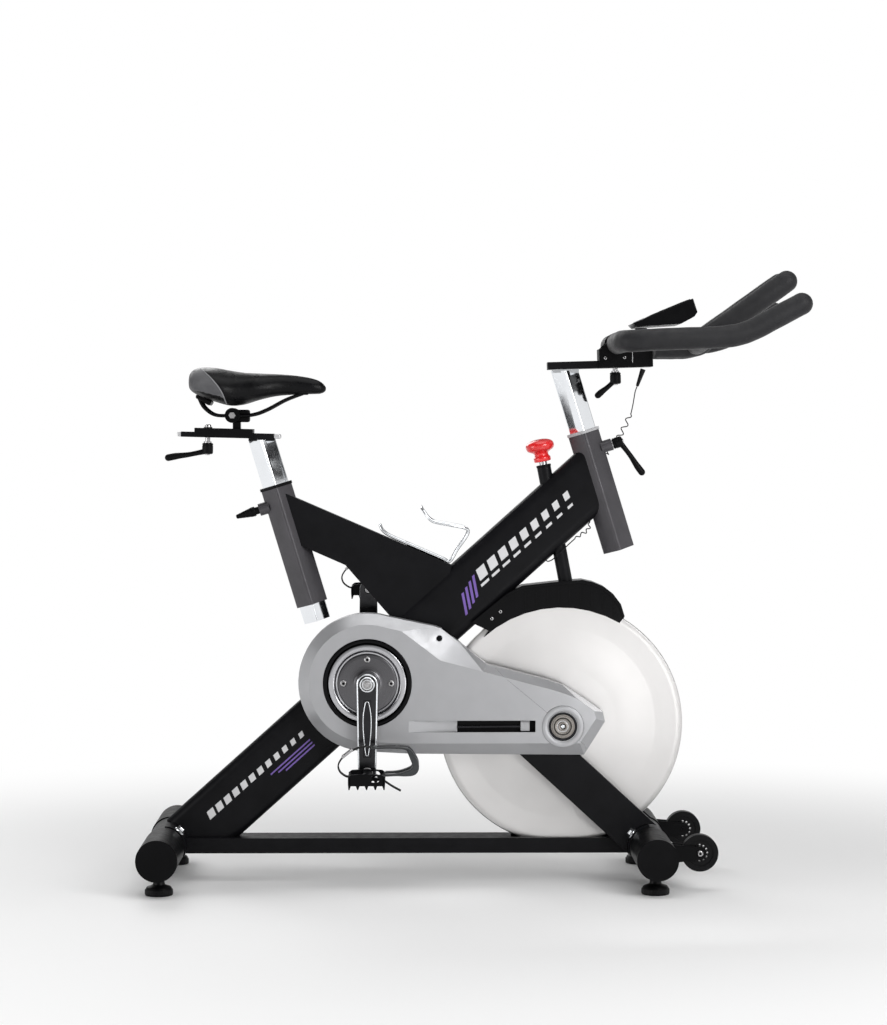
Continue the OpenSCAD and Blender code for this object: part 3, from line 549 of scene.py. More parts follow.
def curl(path, radius, pitch, start_angle=0.0):
    """A curly cord: a helix round a path, drawn in to the path at both ends."""
    line = smooth_path(path, 40)
    total = sum((b - a).length for a, b in zip(line, line[1:]))
    turns = round(total / pitch)
    steps = turns * 18
    sides = frames_along(line)
    made = []
    for i in range(steps + 1):
        share = i / steps
        at = share * (len(line) - 1)
        k = min(int(at), len(line) - 2)
        centre = line[k].lerp(line[k + 1], at - k)
        u, v = sides[k]
        ease = min(1.0, share * turns * 1.6, (1 - share) * turns * 1.6)
        a = start_angle + 2 * math.pi * turns * share
        made.append(centre + radius * ease * (math.cos(a) * u + math.sin(a) * v))
    return made


CONSOLE_WIRE = [(331.5, 20, 988), (327.5, 20, 976.5), (325, 20, 962), (322.5, 20, 948), (319.5, 20, 934)]
CONSOLE_COIL = [
    (319.5, 20, 934), (312, 20, 918), (303, 21, 900), (294, 22, 884),
    (284, 22, 869), (274, 20, 857), (268, 18, 851),
]
CONSOLE_END = [(268, 18, 851), (265, 16, 848.5), (263.4, 13.9, 846.5)]
SENSOR_COIL = [(234, -17, 719), (233, -17, 706), (226, -18, 697), (214, -19, 690), (203, -20, 682)]
SENSOR_WIRE = [
    (203, -20, 682), (188, -20, 668), (172, -20, 652), (159, -19, 641), (150, -18, 638), (146, -17, 642),
]


def add_console_cord():
    """From the plug under the bar rail, down through its curls, into the front of the head sleeve."""
    path = smooth_path(CONSOLE_WIRE, 5)[:-1] + curl(CONSOLE_COIL, 4.9, 17) + smooth_path(CONSOLE_END, 3)[1:]
    verts, faces = sweep_mesh(path, [1.1] * len(path), 10)
    cord = make("console_cord_wire", verts, faces, "cord_black", None, 60)
    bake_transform(cord)
    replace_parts(cord, "console_cord")


def add_sensor_cord():
    """A short curly lead under the head, from the sleeve down to the side of the beam."""
    path = curl(SENSOR_COIL, 2.8, 12, 1.0) + smooth_path(SENSOR_WIRE, 4)[1:]
    verts, faces = sweep_mesh(path, [1.1] * len(path), 10)
    cord = make("sensor_cord_wire", verts, faces, "cord_black", "frame", 60)
    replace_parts(cord, "sensor_cord")


add_camera()
add_console_cord()
add_sensor_cord()


# ---------------------------------------------------------------- CAD nodes that stay
def dress(node, finish, edge=0.8, segments=2):
    """Gives a CAD node its finish and rounded edges."""
    obj = frame["nodes"][node]
    if "custom_normal" in obj.data.attributes:
        obj.data.attributes.remove(obj.data.attributes["custom_normal"])
    obj.data.materials.clear()
    obj.data.materials.append(FINISHES[finish])
    obj.data.shade_smooth()
    merge = obj.modifiers.new("merge", "WELD")
    merge.merge_threshold = 0.00002
    flat = obj.modifiers.new("flat", "DECIMATE")
    flat.decimate_type = "DISSOLVE"
    flat.angle_limit = math.radians(0.6)
    if edge:
        bevelled(obj, edge, segments, 28)
    return obj


DRESSED = [
    ("main_beam", "frame_black", 1.2), ("seat_arm", "frame_black", 4.5),
    ("front_fork", "frame_black", 3.0),
    ("seat_sleeve", "sleeve_grey", 0.8), ("head_sleeve", "sleeve_grey", 0.8),
    ("base_rail", "frame_black", 2.0),
    ("stabilizers", "frame_black", 0.6), ("stabilizer_end_sleeves", "black_plastic", 2.2),
    ("bottom_bracket_shell", "frame_black", 0.6), ("crank_bearings", "steel", 0.4),
    ("inner_cover", "black_plastic", 0.4), ("drive_belt", "belt_rubber", 0.4),
    ("brake_guide_tube", "frame_black", 0.8), ("crank_spindle", "steel", 0.5),
    ("crank_arm_right", "crank_alloy", 1.6), ("crank_arm_left", "crank_alloy", 1.6),
    ("drive_pulley", "black_plastic", 0.5), ("pedal_axles", "steel", 0.5), ("flywheel_hub", "steel", 0.6),
    ("flywheel_bearings", "steel", 0.4), ("flywheel_axle", "steel", 0.8),
    ("seat_post", "chrome", 0.8), ("seat_carriage", "black_plastic", 1.2),
    ("handlebar_post", "chrome", 0.8), ("handlebar_carriage", "black_plastic", 2.0),
    ("console_plug", "cord_black", 0.8), ("console", "gloss_black", 3.0),
    ("console_button", "red_knob", 0.8),
    ("brake_rod", "steel", 0.6), ("brake_pad", "brake_felt", 1.5), ("brake_shroud", "gloss_black", 2.0),
    ("transport_wheel_right", "wheel_black", 1.2), ("transport_wheel_left", "wheel_black", 1.2),
    ("saddle_rails", "gloss_black", 0.0), ("cover_ring", "gloss_black", 0.0),
    ("sleeve_bushes", "bush_grey", 1.0),
]


def dress_cad():
    for node, finish, edge in DRESSED:
        dress(node, finish, edge)


def paint_faces(node, finish, inside):
    """Gives a second finish to the faces of a CAD node whose centre, in mm, passes a test."""
    mesh = frame["nodes"][node].data
    mesh.materials.append(FINISHES[finish])
    for face in mesh.polygons:
        if inside(face.center / MM):
            face.material_index = len(mesh.materials) - 1


def paint_rails():
    """Both posts are chrome, and the rails on them are black."""
    seat = local(SEAT_RAIL, SEAT_RAIL_TILT).inverted()
    bars = local(BAR_RAIL, BAR_RAIL_TILT).inverted()
    paint_faces("seat_post", "frame_black", lambda c: (seat @ c).z > -5.6)
    paint_faces("handlebar_post", "frame_black", lambda c: (bars @ c).z > -7.8)
    paint_faces("sleeve_bushes", "black_plastic", lambda c: c.x < 0)
    paint_faces("seat_carriage", "steel", lambda c: 904 < c.z < 918 and abs(c.y) < 9.2)


# ---------------------------------------------------------------- drive cover
def copy_of(node, name, finish, body):
    """A new piece with a CAD node's shape, its doubled points joined."""
    mesh = frame["nodes"][node].data.copy()
    if "custom_normal" in mesh.attributes:
        mesh.attributes.remove(mesh.attributes["custom_normal"])
    work = bmesh.new()
    work.from_mesh(mesh)
    bmesh.ops.remove_doubles(work, verts=work.verts, dist=0.00002)
    bmesh.ops.dissolve_limit(work, angle_limit=math.radians(0.6), verts=work.verts, edges=work.edges)
    work.to_mesh(mesh)
    work.free()
    mesh.materials.clear()
    mesh.materials.append(FINISHES[finish])
    mesh.shade_smooth()
    obj = bpy.data.objects.new(name, mesh)
    bpy.context.scene.collection.objects.link(obj)
    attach(obj, body)
    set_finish(obj, finish)
    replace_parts(obj, node)
    return obj


def cut(obj, tool):
    """Takes the tool's shape out of a piece, and the tool out of the scene."""
    modifier = obj.modifiers.new("cut", "BOOLEAN")
    modifier.object = tool
    modifier.operation = "DIFFERENCE"
    modifier.solver = "EXACT"
    graph = bpy.context.evaluated_depsgraph_get()
    mesh = bpy.data.meshes.new_from_object(obj.evaluated_get(graph))
    obj.modifiers.clear()
    obj.data = mesh
    bpy.data.objects.remove(tool)


SLOT = (-33.8, 123.2, 303, 326)
RAMP_START = -127


def add_cover():
    """The silver belt cover: two shells and a ramp into the slot."""
    cover = copy_of("drive_cover", "cover_shell", "cover_silver", "frame")
    z0, z1 = SLOT[2], SLOT[3]
    tool = slab("ramp_tool", rect(RAMP_START, z0, SLOT[0] + 1, z1), -95, -76, "cover_silver", "frame", 0)
    cut(cover, tool)
    cover.data.shade_smooth()
    bevelled(cover, 2.2, 3, 14)
    end = copy_of("drive_cover_end", "cover_end_shell", "cover_silver", "frame")
    bevelled(end, 1.8, 3, 14)
    rows = [(RAMP_START - 1.5, -COVER_FACE + 0.3), (SLOT[0] + 3, -COVER_FACE + 20)]
    pts = []
    for z in (z0 - 1.5, z1 + 1.5):
        pts += [(x, y, z) for x, y in rows] + [(x, y + 2, z) for x, y in reversed(rows)]
    sides = [(k, k + 4, (k + 1) % 4 + 4, (k + 1) % 4) for k in range(4)]
    floor = make("cover_ramp", pts, [(0, 1, 2, 3), (7, 6, 5, 4)] + sides,
                 "cover_silver", "frame")
    fix_normals(floor)
    bevelled(floor, 0.6)
    return cover, end


def add_slot_bracket():
    """Behind the slot: a black plate as painted shade for the dark inside of the cover, and a grey bracket.
    """
    # Painted shade: a black plate set inside the cover so that the slot reads dark.
    slab("slot_painted_shade", rect(-40, 298, 128, 331), -66, -64,
         "black_plastic", "frame", 0.5)
    slab("slot_bracket", rect(94, 304.5, 112, 324.5), -78, -66.2,
         "bush_grey", "frame", 1.2)
    slab("slot_strap", [(-30, 310), (94, 311), (94, 315), (-30, 314)], -72, -68,
         "dark_steel", "frame", 0.8)


def add_boss():
    """The raised ring on the cover round the flywheel axle, and the turned cap on the axle."""
    ring = [(29.2, 0), (31, 2.2), (34, 3), (38, 3), (40.6, 2.2), (41.4, 0.4), (41.4, -1), (29.2, -1)]
    place = facing(AXLE, -1)
    lift = move(0, 0, COVER_FACE)
    lathe("axle_boss", closed(ring), place @ lift, "cover_silver", "frame")
    cap = [
        (0, 82.0), (5.2, 82.0), (5.6, 83.4), (7.6, 83.8), (9.4, 83.4), (9.8, 81.6), (11.4, 81.6),
        (11.8, 83.2),
        (15.4, 83.4), (15.8, 82.0), (17.2, 82.0), (17.6, 83.4), (20.8, 83.4), (21.4, 82.4), (23.4, 82.4),
        (23.9, 81.8), (23.9, 80.8), (0, 80.8),
    ]
    bolt = [(0, 84.9), (2.6, 84.9), (3.8, 84.2), (4.2, 82.4), (4.2, 81.8), (0, 81.8)]
    lathe("axle_bolt", bolt, place, "chrome", "frame", 48)
    lathe("axle_cap", cap, place, "axle_steel", "frame")
    well = [(24.4, 77.0), (28.2, 77.0), (28.2, 79.5), (27.2, 80.6), (25.2, 80.6), (24.4, 79.5)]
    lathe("axle_well", closed(well), place, "dark_steel", "frame")


def socket_screw(name, place, radius, height, finish, body):
    """A button-head screw with a hexagonal socket, its head standing on the frame's z = 0."""
    head = []
    for i in range(9):
        a = math.radians(90 * i / 8)
        head.append((radius * (0.55 + 0.45 * math.cos(a)), height * (0.25 + 0.75 * math.sin(a))))
    socket = radius * 0.46
    profile = [(radius * 0.6, -1.5), (radius, -0.2)] + head
    profile += [(socket, height), (socket * 0.96, height * 0.45), (0, height * 0.4)]
    turned = lathe(name, profile, place, finish, body, 48)
    hexagon = [place @ Vector((*polar((0, 0), socket, 60 * i), height * 0.9)) for i in range(6)]
    floor = make(name + "_socket", hexagon, [tuple(range(6))], "black_plastic", body)
    return joined(name, [turned, floor])


def add_cover_screw():
    place = facing((-66.5, 488), -1) @ move(0, 0, 74)
    socket_screw("cover_screw", place, 5.4, 3.4, "gloss_black", "frame")


# ---------------------------------------------------------------- crank and dish
def add_dish():
    """The bright dish that turns with the crank, in its black ring."""
    place = facing(CRANK, -1)
    ring = [
        (79.2, 78.2), (79.2, 85.6), (79.8, 86.6), (81.4, 87.2), (85.6, 87.2), (87.2, 86.5),
        (87.7, 85.2), (87.7, 78.2),
    ]
    ring_piece = lathe("cover_ring_turned", closed(ring), place, "gloss_black", "frame", 128)
    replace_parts(ring_piece, "cover_ring")
    rim = [
        (58.5, 84.2), (59.2, 84.9), (61.5, 85.1), (62.4, 85.6), (64.2, 89.6), (66.5, 91.3),
        (70, 91.9), (74, 91.8),
        (76.2, 91.0), (76.9, 89.5), (76.9, 82.2), (58.5, 82.2),
    ]
    dish = lathe("dish_rim", closed(rim), place, "dish_chrome", "crank", 160)
    plate = [
        (24, 92.5), (24.6, 90.6), (27, 89.3), (31, 88.6), (38, 88.0), (50, 87.7), (55.5, 87.4),
        (57.6, 86.6),
        (58.0, 85.2), (58.0, 82.2), (24, 82.2),
    ]
    face = lathe("dish_plate", closed(plate), place, "dish_dark", "crank", 160)
    hub = [(10.1, 97.4), (22.6, 97.4), (23.6, 96.8), (24, 95.6), (24, 38.7), (10.1, 38.7)]
    core = lathe("dish_hub", closed(hub), place, "dish_dark", "crank")
    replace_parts(joined("dish", [dish, face, core]), "chainring_dish")
    for i, angle in enumerate((0, 90, 180, 270)):
        at = facing(polar(CRANK, 47, angle), -1) @ move(0, 0, 88)
        socket_screw(f"dish_bolt_{i}", at, 6.6, 3.4, "steel", "crank")


def loop_rod(name, line, radius, finish, body):
    """A thin round rod laid along a closed line of points."""
    pts = [Vector(p) for p in line]
    verts = []
    for i, p in enumerate(pts):
        t = (pts[(i + 1) % len(pts)] - pts[i - 1]).normalized()
        u = Vector((0, 1, 0))
        v = t.cross(u)
        for k in range(10):
            a = 2 * math.pi * k / 10
            verts.append(p + radius * (math.cos(a) * u + math.sin(a) * v))
    n = len(pts)
    faces = [
        (i * 10 + k, i * 10 + (k + 1) % 10, (i + 1) % n * 10 + (k + 1) % 10, (i + 1) % n * 10 + k)
        for i in range(n) for k in range(10)
    ]
    rod = make(name, verts, faces, finish, body, 60)
    fix_normals(rod)
    return rod


def add_crank_caps():
    """Rings and a capped bolt at each crank's boss, and a ring at each pedal end."""
    parts = []
    for side in (-1, 1):
        place = facing(CRANK, side) @ move(0, 0, 114)
        cap = [
            (0, 4.6), (4.2, 4.6), (4.6, 3.4), (5.6, 3.4), (6.4, 4.2), (7.6, 4.2), (8.2, 2.2), (10.9, 2.0),
            (10.9, -0.4), (0, -0.4),
        ]
        parts.append(lathe(f"crank_cap_{side + 1}", cap, place, "steel", "crank"))
        for k, (r, w) in enumerate(((8.9, 0.9), (13.6, 1.3))):
            half = [(r - w, 0.2), (r - w, 2.2), (r - w * 0.5, 2.8)]
            ring = half + [(2 * r - a, h) for a, h in reversed(half)]
            parts.append(lathe(f"crank_ring_{side + 1}_{k}", closed(ring), place, "chrome", "crank"))
        tip = facing((CRANK[0], CRANK[1] + side * CRANK_LEN), side) @ move(0, 0, 114)
        ring = [(7.2, 0.6), (10.5, 0.6), (11.6, 0.1), (11.8, -0.4), (7.2, -0.4)]
        parts.append(lathe(f"crank_tip_{side + 1}", closed(ring), tip, "steel", "crank"))
    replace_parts(joined("crank_caps", parts), "crank_bolts")


# The lens-shaped groove: distance from the axle and half width
LENS = [(34, 2.6), (42, 4.6), (58, 7.2), (74, 8.0), (94, 7.4), (114, 5.6), (130, 3.8), (140, 2.2)]


def add_crank_grooves():
    """On each black crank: bright edges all round, and a groove with a bright lip."""
    for side in (-1, 1):
        x, z = CRANK
        low = z + (32 if side > 0 else -142)
        y0, y1 = sorted((side * 110.6, side * 114.05))
        inlay = rect(x - 6.95, low + 0.05, x + 6.95, low + 109.95)
        slab(f"crank_inlay_{side + 1}", inlay, y0, y1, "crank_alloy", "crank", 0)
        curve = smooth_path([(w, 0, side * d) for d, w in LENS], 4)
        lens = [(x + p.x, z + p.z) for p in curve] + [(x - p.x, z + p.z) for p in reversed(curve)]
        y0, y1 = sorted((side * 113.8, side * 114.25))
        slab(f"crank_groove_{side + 1}", lens, y0, y1, "dark_steel", "crank", 0)
        loop_rod(f"crank_lip_{side + 1}", [(a, side * 114.1, b) for a, b in lens], 0.95, "chrome",
                 "crank")
        edge = arc(CRANK, 19.4, -180 * (side > 0), 180 * (side < 0), 32)
        edge += arc((x, z + side * CRANK_LEN), 16.4, 180 * (side < 0), 180 + 180 * (side < 0), 28)
        loop_rod(f"crank_edge_{side + 1}", [(a, side * 112.9, b) for a, b in edge], 1.7, "chrome",
                 "crank")


# ---------------------------------------------------------------- pedals
def pedal_place(side):
    """A frame at the middle of a pedal, its y axis pointing out of the bike."""
    turn = Matrix.Identity(4) if side > 0 else Matrix.Scale(-1, 4, (0, 1, 0))
    return move(CRANK[0], side * PEDAL_MID, CRANK[1] + side * CRANK_LEN) @ turn


def toothed_plate():
    """The outline of a pedal's side plate: teeth below and a bowed top."""
    pts = []
    for i in range(5):
        x = -34 + i * 17
        pts += [(x - 3.6, -13), (x - 1.0, -20.5), (x + 1.0, -20.5), (x + 3.6, -13)]
    pts = [p for p in pts if abs(p[0]) < 36]
    return [(-36, -9)] + pts + [(36, -9), (36, 4), (30, 8.5), (12, 9.8), (-12, 9.8), (-30, 8.5), (-36, 4)]


def add_pedal(side, word):
    """A caged pedal: barrel on its axle, toothed side plates, end bars and a tread bar."""
    body = f"pedal_{word}"
    place = pedal_place(side)
    parts = []
    barrel = [(0, -42), (9, -42), (10.6, -40.5), (10.9, -34), (9.4, -30), (8.6, -10), (9.4, 6), (10.2, 30),
              (10.9, 36), (10.9, 42), (9.6, 43.8), (0, 43.8)]
    spin = place @ spun(-90, "X")
    parts.append(lathe(body + "_barrel", barrel, spin, "black_plastic", body, 40))
    for k, y in enumerate((-44, 38.5)):
        plate = slab(f"{body}_plate_{k}", toothed_plate(), y, y + 5.5, "black_plastic", body, 0, place)
        hole = slab(f"{body}_hole_{k}", arc((19, 0), 6.5, -90, 90, 8) + arc((-2 + 14, 0), 6.5, 90, 270, 8),
                    y - 3, y + 9, "black_plastic", body, 0, place)
        cut(plate, hole)
        bevelled(plate, 0.7)
        parts.append(plate)
    for k, x in enumerate((-33, 33)):
        bar = place @ move(x, 0, -4)
        parts.append(brick(f"{body}_bar_{k}", (6, 88, 17), bar, "black_plastic", body, 2.2))
    for k, x in enumerate((-24, 24)):
        rib = place @ move(x, 0, -5)
        parts.append(brick(f"{body}_rib_{k}", (16, 12, 5), rib, "black_plastic", body, 1.2))
    whole = joined(body + "_cage", parts)
    fix_normals(whole)
    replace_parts(whole, body)


# Middle line of the toe cage from the pedal's front, as (x, z, thickness)
TOE_BAND = [
    (36, 6, 4), (58, 7, 4), (76, 9, 9), (91, 14, 14), (95, 26, 13), (89, 41, 11), (82.5, 52, 8),
    (75, 57.5, 4),
    (50, 59, 3), (10, 57.6, 3),
]
# Cross pieces between the cage's two rails, as (x, z, width, lean)
TOE_CROSSES = [(93, 15, 9, 30), (87, 46, 7, 66), (60, 59, 9, 0), (14, 57.8, 12, 0)]
STRAP = [
    (8, 58.5), (-10, 58.8), (-29, 51), (-46, 39), (-55.3, 24), (-52.5, 11), (-41.5, 2), (-33, 0.5),
]


def band_mesh(line, half_widths, thick, place):
    """A flat band along a line in x and z, with a half width and a thickness at each point."""
    pts = [Vector((x, 0, z)) for x, z in line]
    verts = []
    for i, p in enumerate(pts):
        t = (pts[min(i + 1, len(pts) - 1)] - pts[max(i - 1, 0)]).normalized()
        out = Vector((-t.z, 0, t.x))
        w, h = half_widths[i], thick[i] / 2
        round_in = min(h * 0.8, 1.6)
        low = [(-w + round_in, -h), (w - round_in, -h), (w, -h + round_in * 0.7)]
        high = [(w, h - round_in * 0.7), (w - round_in, h), (-w + round_in, h)]
        section = low + high + [(-w, h - round_in * 0.7), (-w, -h + round_in * 0.7)]
        verts += [place @ (p + Vector((0, a, 0)) + out * b) for a, b in section]
    return verts, ring_faces(len(pts), 8)


def add_toe_cage(side, word):
    """The grey toe cage with its window, and the strap through it with a buckle and a loose tail."""
    body = f"pedal_{word}"
    place = pedal_place(side)
    line = smooth_path([(x, t, z) for x, z, t in TOE_BAND], 6)
    n = len(line) - 1
    rails = []
    for k, sign in enumerate((-1, 1)):
        widths = [8.5 + 2.5 * math.sin(math.pi * i / n) for i in range(n + 1)]
        flat = [(p.x, p.z) for p in line]
        verts, faces = band_mesh(flat, widths, [p.y for p in line], Matrix.Identity(4))
        moved = []
        for i, v in enumerate(verts):
            shift = 24 - 9 * (i // 8 / n) ** 2
            moved.append(place @ Vector((v.x, v.y + sign * shift, v.z)))
        rails.append(make(f"toe_rail_{word}_{k}", moved, faces, "toe_grey", body, 40))
    for k, (x, z, w, lean) in enumerate(TOE_CROSSES):
        at = place @ move(x, 0, z) @ spun(lean, "Y")
        rails.append(brick(f"toe_cross_{word}_{k}", (w, 46, 3), at, "toe_grey", body, 1.1))
    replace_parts(joined(f"toe_cage_{word}_moulding", rails), f"toe_cage_{word}")
    for name, points, half, thick in (
        ("strap", STRAP, 8.6, 2.8), ("tail", [(18, 4), (32, -6), (48, -17), (66, -27)], 7.0, 3.2),
    ):
        line = [(p.x, p.z) for p in smooth_path([(x, 0, z) for x, z in points], 6)]
        verts, faces = band_mesh(line, [half] * len(line), [thick] * len(line), place)
        strap = make(f"toe_{name}_{word}", verts, faces, "belt_rubber", body, 40)
        fix_normals(strap)
    add_buckle(body, place, word)


def add_buckle(body, place, word):
    """The strap's sprung buckle: two cheeks, a roller and a pin."""
    at = place @ move(-38, 0, 46) @ spun(-38, "Y")
    bits = []
    for k, y in enumerate((-10.2, 10.2)):
        cheek = at @ move(0, y, 0)
        bits.append(brick(f"buckle_{word}_{k}", (26, 2.2, 5), cheek, "steel", body, 0.7))
    for k, (x, r) in enumerate(((9, 2.2), (-9, 1.8))):
        rod = [at @ Vector((x, y, 1)) for y in (-11, 11)]
        bits.append(tube(f"buckle_{word}_rod_{k}", rod, r, "steel", body, 14))
    joined(f"strap_buckle_{word}", bits)


# ---------------------------------------------------------------- flywheel
def add_flywheel():
    """The turned steel disc: a web that thickens to the rim, with rounded corners."""
    half = [
        (25, 4.5), (108, 4.5), (112, 4.7), (150, 6.0), (188, 7.4), (192, 7.8), (229, 11.5), (231.5, 11.9),
        (234, 12), (239.5, 12), (241.4, 11.6), (242.6, 10.6), (243, 9.4),
    ]
    profile = half + [(r, -h) for r, h in reversed(half)]
    disc = lathe("flywheel_disc", closed(profile), facing(AXLE, -1), "flywheel_chrome",
                 "flywheel", 288, 20)
    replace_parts(disc, "flywheel")


# ---------------------------------------------------------------- levers and knobs
def add_lever(word, place, hub_r, hub_h, stud_z, tip, tip_r):
    """A ratchet clamp lever: ribbed hub, tapering arm with a rounded tip, steel stud and screw."""
    body = word
    h = hub_h / 2
    hub = [(0, -h), (hub_r - 2.4, -h), (hub_r - 0.8, -h + 1.2), (hub_r, -h + 3.0), (hub_r, h - 5.4),
           (hub_r - 0.9, h - 5.0), (hub_r - 0.9, h - 4.2), (hub_r, h - 3.8), (hub_r - 0.3, h - 1.2),
           (hub_r - 1.6, h), (0, h)]
    parts = [lathe(word + "_hub", hub, place, "black_plastic", body, 48)]
    tip = Vector(tip)
    across = tip.cross(Vector((0, 1, 0))).normalized()
    bend = 0.05 * tip.length
    line = [Vector((0, 0, -h * 0.4)), tip * 0.22 + across * bend, tip * 0.5 + across * bend * 0.8,
            tip * 0.78 + across * bend * 0.2, tip]
    path = [place @ p for p in smooth_path(line, 8)]
    n = len(path) - 1
    shares = [i / n for i in range(n + 1)]
    radii = [6.4 - 1.5 * math.sin(min(1, a * 1.25) * math.pi) + (tip_r - 6.4) * a**2 for a in shares]
    end = (path[-1] - path[-2]).normalized()
    turn = [math.radians(a) for a in (20, 40, 60, 80)]
    path += [path[-1] + end * radii[n] * math.sin(a) for a in turn]
    radii += [radii[n] * math.cos(a) for a in turn]
    verts, faces = sweep_mesh(path, radii, 20)
    parts.append(make(word + "_arm", verts, faces, "black_plastic", body, 50))
    stud = [(0, h - 1), (4.9, h - 1), (4.9, stud_z - 0.8), (4.2, stud_z), (0, stud_z)]
    parts.append(lathe(word + "_stud", stud, place, "steel", body, 32))
    collar = [(0, h), (7.4, h), (8.0, h + 0.6), (8.0, h + 2.6), (7.2, h + 3.2), (0, h + 3.2)]
    parts.append(lathe(word + "_collar", collar, place, "steel", body, 40))
    whole = joined(word + "_moulded", parts)
    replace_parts(whole, word)
    under = place @ move(0, 0, -h) @ Matrix.Rotation(math.pi, 4, "X")
    socket_screw(word + "_screw", under, 5.2, 2.2, "steel", body)


def add_levers():
    seat = local(SEAT_RAIL, SEAT_RAIL_TILT) @ move(-40, 0, -27.6)
    add_lever("seat_lever", seat, 11, 22, 39.6, (-78, 0, -20), 7)
    bars = local(BAR_RAIL, BAR_RAIL_TILT) @ move(31, 0, -28)
    add_lever("handlebar_lever", bars, 11, 23, 42, (-36, 0, -33), 6.5)
    head = local(HEAD_TOP, POST_TILT) @ move(60, 0, -37) @ spun(-90, "Y")
    add_lever("head_lever", head, 11, 20, 31, (-71, 0, -29), 7)


def add_seat_pin():
    """The sprung pull pin: a tapered knob behind the seat sleeve."""
    place = local(SEAT_TOP, POST_TILT) @ move(0, 0, -32.5) @ spun(-90, "Y")
    knob = [
        (0, 94.2), (2.6, 94), (4.2, 92.6), (4.9, 88), (5.6, 84), (5.6, 82.6), (6.3, 81), (7.0, 76),
        (7.0, 74.6),
        (7.7, 73), (8.4, 68), (8.4, 66.6), (9.1, 65), (9.75, 60), (9.75, 56), (9.0, 54.2), (7.5, 54),
        (7.5, 47.4), (6.9, 46.6), (4, 46.5), (4, 29), (0, 29),
    ]
    pin = lathe("seat_pin_knob", knob, place, "black_plastic", "seat_pin", 48)
    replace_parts(pin, "seat_pin")


def add_brake_knob():
    """The red mushroom knob that presses and turns the brake rod."""
    outline = [(8.1, 7), (14.6, 7), (16.4, 7.8), (17, 9.6), (17, 15), (15.6, 17), (14.2, 19), (14, 22.5)]
    outline += [(16, 25.2), (20, 27.2), (24.6, 29.8), (27.4, 33), (28.5, 37.6), (28.2, 41), (26.6, 44.6)]
    outline += [(23, 47.8), (17, 50.4), (10, 51.9), (4, 52.4), (0.2, 52.5)]
    rim = smooth_path([(r, 0, h) for r, h in outline], 3)
    knob = lathe("brake_knob_turned", [(p.x, p.z) for p in rim], local(BRAKE_TOP, BRAKE_TILT), "red_knob",
                 "brake_knob", 72, 60)
    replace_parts(knob, "brake_knob")
    collar = [(8.2, 0), (13.6, 0), (14.8, 0.8), (14.8, 4.2), (14.0, 5.0), (8.2, 5.0)]
    lathe("guide_collar", closed(collar), local(BRAKE_TOP, BRAKE_TILT) @ move(0, 0, -4.4),
          "black_plastic", "frame", 48)


# ---------------------------------------------------------------- handlebar
OUTER_BAR = [
    (630, -210, 1143), (575, -210, 1114), (535, -210, 1093), (500, -210, 1082), (455, -210, 1078),
    (400, -210, 1076), (345, -210, 1074), (310, -202, 1072), (292, -178, 1072), (288, -140, 1072),
    (288, -90, 1072), (288, -36, 1072),
]
FRONT_BAR = [(446, -210, 1077), (442, -150, 1070), (440, -90, 1067), (440, 0, 1066)]
HORN = [(366, -44, 1064), (405, -51, 1064), (445, -56, 1068), (472, -57, 1088), (545, -56, 1140),
        (621, -55, 1194)]


def worn(radii):
    """Foam radii with slight waves along the grip."""
    return [r + 0.25 * math.sin(i * 0.9) * math.sin(i * 0.37) for i, r in enumerate(radii)]


def foam(name, points, radius, steps, tip=True):
    """A foam sleeve along a bar, domed at its free end."""
    path = smooth_path(points, steps)
    if tip:
        path, radii = domed(path, radius, both=False)
    else:
        radii = [radius] * len(path)
    verts, faces = sweep_mesh(path, worn(radii), 36)
    return make(name, verts, faces, "foam_grip", "handlebar", 60)


def add_handlebar():
    """Two outer grips joined at the back, two horns, and the cross bar between them."""
    parts = []
    for side in (-1, 1):
        outer = [(x, -side * y, z) for x, y, z in reversed(OUTER_BAR)]
        horn = [(x, -side * y, z) for x, y, z in HORN]
        parts.append(foam(f"outer_grip_{side + 1}", outer, GRIP_R, 6))
        parts.append(foam(f"horn_grip_{side + 1}", horn, GRIP_R, 8))
    parts.append(foam("cross_grip", FRONT_BAR + mirrored(FRONT_BAR[:-1]), GRIP_R - 3, 6, tip=False))
    steel = [Vector((288, y, 1072)) for y in (-40, -20, 0, 20, 40)]
    parts.append(tube("bar_core", steel, 15, "frame_black", "handlebar", 32, False))
    whole = joined("handlebar_grips", parts)
    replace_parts(whole, "handlebar")
    for side in (-1, 1):
        for x, z, y in ((288, 1072, 38), (440, 1066, 82)):
            place = facing((x, z), side) @ move(0, 0, y - 3)
            r = GRIP_R if x < 300 else GRIP_R - 3
            ring = [(r - 5, 0), (r + 0.2, 0), (r + 0.5, 1), (r + 0.5, 3), (r + 0.2, 4), (r - 5, 4)]
            lathe(f"grip_ring_{x}_{side + 1}", closed(ring), place, "black_plastic", "handlebar", 48)


